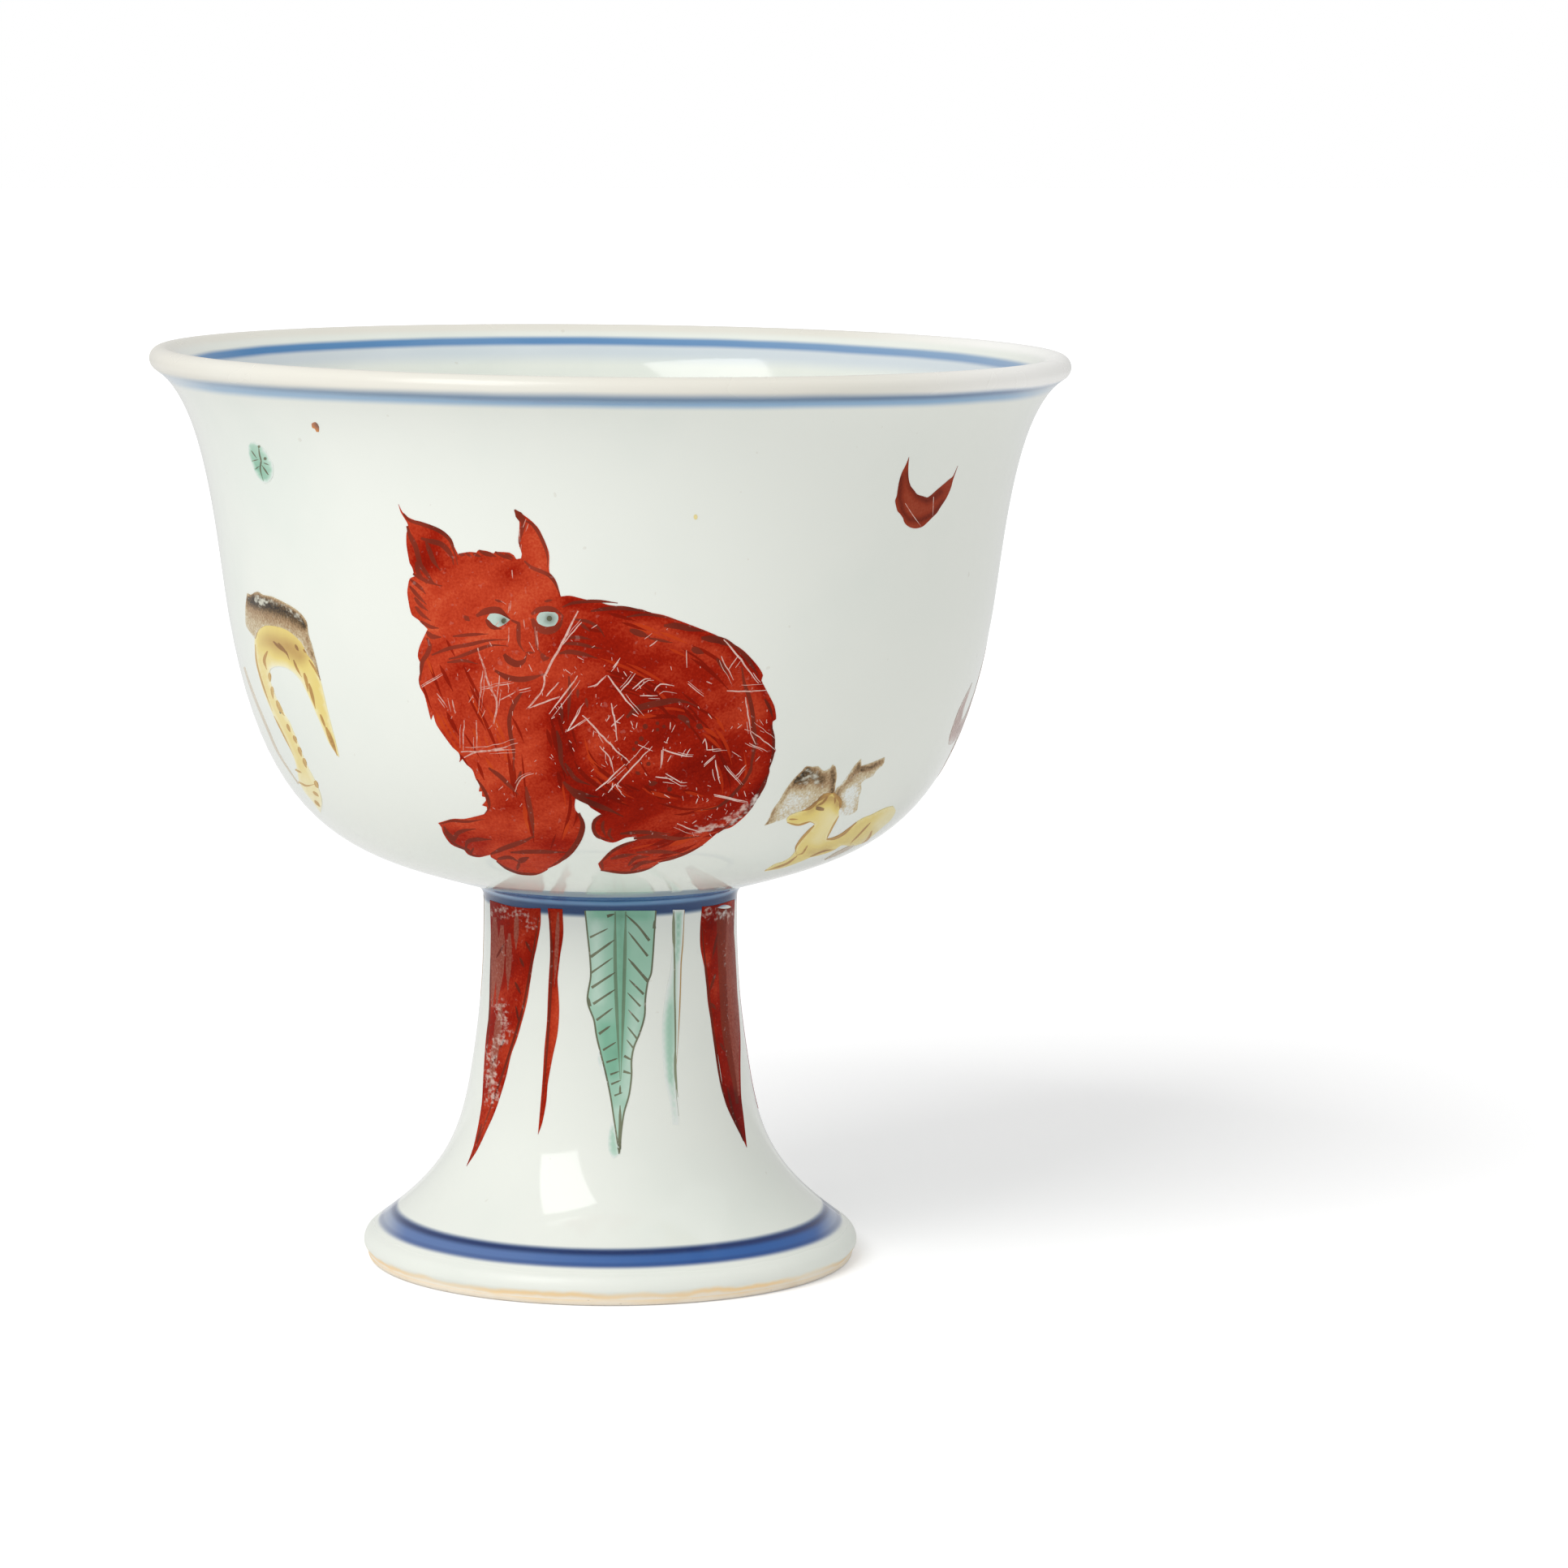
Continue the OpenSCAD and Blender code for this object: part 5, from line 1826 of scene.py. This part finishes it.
@dataclass
class FarSide:
    """Figures that the photograph doesn't show: a hare, two plants and a sun, in the same enamels."""

    painter: Painter
    hare: Outline = pixels(
        905, 802, 897, 788, 884, 776, 878, 768, 884, 730, 898, 664, 880, 690, 866, 728, 862, 754, 852, 716,
        846, 656, 836, 692, 836, 730, 842, 764, 828, 786, 780, 802, 730, 826, 684, 868, 662, 905, 640, 926,
        618, 928, 606, 908, 611, 880, 586, 900, 580, 926, 596, 952, 626, 956, 652, 950, 662, 982,
        690, 1006, 740, 1016, 792, 1012, 774, 996, 782, 968, 818, 952, 824, 1000, 846, 1014, 864, 1006,
        848, 990, 866, 930, 876, 884, 878, 850, 890, 832, 904, 816,
    )
    hare_brush: tuple[Row, ...] = (
        (4, 712, 990, 690, 950, 700, 900, 740, 872, 780, 880, 800, 920, 790, 960), (3, 905, 804, 890, 800),
        (3, 890, 832, 876, 824, 870, 808), (3, 880, 672, 870, 730, 868, 756),
        (2.6, 842, 676, 846, 730, 850, 760), (3, 826, 790, 800, 816), (3, 770, 812, 748, 836),
        (3, 720, 840, 702, 868), (2.6, 860, 860, 850, 900, 846, 950),
        (2.4, 700, 1000, 740, 1006, 780, 1006),
    )
    hare_turn: float = 92.0
    sun: Pixel = (880, 600)
    sun_turn: float = 170.0

    def leaf(self, base: Pixel, tip: Pixel, width: float) -> Outline:
        """Pointed leaf from its base to its tip."""
        a, b = Vector(base), Vector(tip)
        way = b - a
        side = Vector((-way.y, way.x)).normalized() * width / 2
        full, slim = a + way * 0.3, a + way * 0.62
        edge = (a, full + side, slim + side * 0.85, b, slim - side * 0.85, full - side)
        return tuple(tuple(p) for p in edge)

    def build_plant(self, name: str, turn: float, lean: float) -> None:
        """Lays a plant with a curved stalk and paired leaves.

        Args:
            name: name of its piece.
            turn: angle round the cup, in degrees.
            lean: sideways reach of its stalk, in pixels.
        """
        stalk = [(752 + lean * math.sin(t * 2.6), 1010 - 250 * t) for t in (0, 0.25, 0.5, 0.75, 1)]
        patches, strokes = [], [Stroke(Paint.GREEN_LINE, 5, tuple(stalk), 1.0)]
        for i, at in enumerate(stalk[1:]):
            reach = 74 - 10 * i
            for side in (-1, 1):
                tip = (at[0] + side * reach, at[1] - 34 + 16 * side)
                outline = self.leaf(at, tip, 26 - 3 * i)
                patches.append((Paint.GREEN, outline))
                strokes.append(Stroke(Paint.GREEN_LINE, 2.4, (*outline, outline[0]), 0.9))
                strokes.append(Stroke(Paint.GREEN_LINE, 2.0, (at, tip)))
        film = Film(name, "green_enamel", patches, strokes, tone=0.6, grid=8, depth=0.09, turn=turn)
        film.shades = tuple(Shade(0.2, 16, (at,)) for at in stalk)
        self.painter.lay(film)

    def build(self) -> None:
        """Lays the figures of the far side."""
        hare = Film("hare", "brown_black_enamel", [(Paint.AUBERGINE, self.hare)], tone=0.56, grid=9)
        hare.turn = self.hare_turn
        hare.strokes += lines(Paint.GREEN_LINE, self.hare_brush)
        hare.patches += [(Paint.GREEN_LINE, dot((880, 796), 4.4))]
        hare.shades = shaded(
            (-0.2, 30, 650, 940, 680, 880, 670, 980), (0.16, 40, 780, 830, 840, 800),
            (-0.16, 16, 606, 890, 590, 914, 598, 944), (-0.14, 30, 740, 940, 830, 960),
        )
        hare.bleed, hare.fringe = 5, 0.4
        self.painter.lay(hare)
        disc, edge = dot(self.sun, 30, 31, 20), dot(self.sun, 28, 29, 16)
        sun = Film("sun", "iron_red_enamel", [(Paint.RED, disc)], tone=0.6, grid=8, turn=self.sun_turn)
        sun.strokes += [Stroke(Paint.RED_LINE, 3.4, (*edge, edge[0]), 0.9)]
        self.painter.lay(sun)
        self.build_plant("plant_left", -104, 26)
        self.build_plant("plant_back", 172, -30)


@dataclass
class Studio:
    """Pale floor, soft light and the photograph's camera."""

    camera: PhotoCamera
    floor_size: float = 6.0
    floor_drop: float = 0.00002
    aim_z: float = 0.03
    sky: float = 0.64
    key_way: tuple[float, float] = (-40.0, 44.3)
    key_size: tuple[float, float] = (0.34, 0.48)
    key_distance: float = 0.7
    key_watts: float = 2.25
    fill_way: tuple[float, float] = (82.0, 58.0)
    fill_watts: float = 0.22
    floor_tone: float = 0.8
    floor_glow: tuple[float, float] = (0.27, 0.6)
    glow_reach: tuple[float, float] = (0.1, 0.6)
    lamp_way: tuple[float, float] = (-36.0, 44.3)
    lamp_size: tuple[float, float] = (1.22, 1.0)
    lamp_distance: float = 2.0
    lamp_watts: float = 29.0

    def build_world(self) -> None:
        """White surroundings that light the cup softly."""
        sheet = Sheet("white_room", world=True)
        bpy.context.scene.world = sheet.material
        seen = sheet.add("ShaderNodeLightPath").outputs["Is Camera Ray"]
        sheet.dress(Color=(1, 1, 1, 1), Strength=sheet.step(seen, 0.0, 1.0, self.sky, 1.0))

    def build_floor(self) -> Piece:
        """Floor that looks white where it is lit and keeps the shadow of the cup."""
        bpy.ops.object.select_all(action="DESELECT")
        bpy.ops.mesh.primitive_plane_add(size=self.floor_size, location=(0, 0, -self.floor_drop))
        floor = bpy.context.object
        floor.name = "floor"
        sheet = Sheet("white_floor")
        reach = sheet.add("ShaderNodeVectorMath", operation="LENGTH")
        sheet.feed(reach.inputs[0], sheet.place())
        glow = sheet.step(reach.outputs["Value"], *self.glow_reach, *self.floor_glow)
        seen = sheet.add("ShaderNodeLightPath").outputs["Is Camera Ray"]
        sheet.dress(
            Base_Color=(*[self.floor_tone] * 3, 1), Roughness=0.9, Specular_IOR_Level=0.1,
            Emission_Color=(1, 1, 1, 1), Emission_Strength=sheet.sum("MULTIPLY", seen, glow),
        )
        floor.data.materials.append(sheet.material)
        return floor

    def add_softbox(
        self, name: str, way: tuple[float, float], distance: float, size: tuple[float, float], watts: float,
    ) -> Piece:
        """Adds a softbox that faces the cup.

        Args:
            name: its name.
            way: its angle from the front and its rise, in degrees.
            distance: metres from the cup.
            size: its width and height, in metres.
            watts: its power.

        Returns:
            The lamp.
        """
        azimuth, rise = (math.radians(a) for a in way)
        place = Vector((
            math.sin(azimuth) * math.cos(rise), -math.cos(azimuth) * math.cos(rise), math.sin(rise)
        )) * distance
        bpy.ops.object.light_add(type="AREA", location=place + Vector((0, 0, self.aim_z)))
        lamp = bpy.context.object
        lamp.name = name
        lamp.rotation_euler = (-place).to_track_quat("-Z", "Y").to_euler()
        lamp.data.shape = "RECTANGLE"
        lamp.data.size, lamp.data.size_y = size
        lamp.data.energy = watts
        return lamp

    def aim(self, lamp: Piece, floor: Piece, state: str) -> None:
        """Lets a lamp light the floor alone (INCLUDE) or all but the floor (EXCLUDE)."""
        group = bpy.data.collections.new(f"{lamp.name}_reach")
        group.objects.link(floor)
        lamp.light_linking.receiver_collection = group
        group.collection_objects[0].light_linking.link_state = state

    def build(self) -> None:
        """Builds the studio."""
        scene = bpy.context.scene
        scene.view_settings.view_transform = "Standard"
        self.build_world()
        floor = self.build_floor()
        for name, way, distance, size, watts, state in (
            ("key", self.key_way, self.key_distance, self.key_size, self.key_watts, "EXCLUDE"),
            ("fill", self.fill_way, self.key_distance, self.key_size, self.fill_watts, "EXCLUDE"),
            ("floor", self.lamp_way, self.lamp_distance, self.lamp_size, self.lamp_watts, "INCLUDE"),
        ):
            self.aim(self.add_softbox(f"{name}_softbox", way, distance, size, watts), floor, state)
        self.camera.make()


def main() -> None:
    """Builds the cup and its studio, and reports each piece."""
    logging.basicConfig(level=logging.INFO, format="%(name)s %(message)s")
    profile = CupProfile()
    camera = PhotoCamera()
    surface = CupSurface(profile, camera)
    Studio(camera).build()
    CupBody(surface).build()
    painter = Painter(surface, PaintBox())
    for figure in (SeatedCat, SkyMarks, ArchedSprig, RecliningDeer, StemLeaves, FarSide):
        figure(painter).build()


if __name__ == "__main__":
    main()
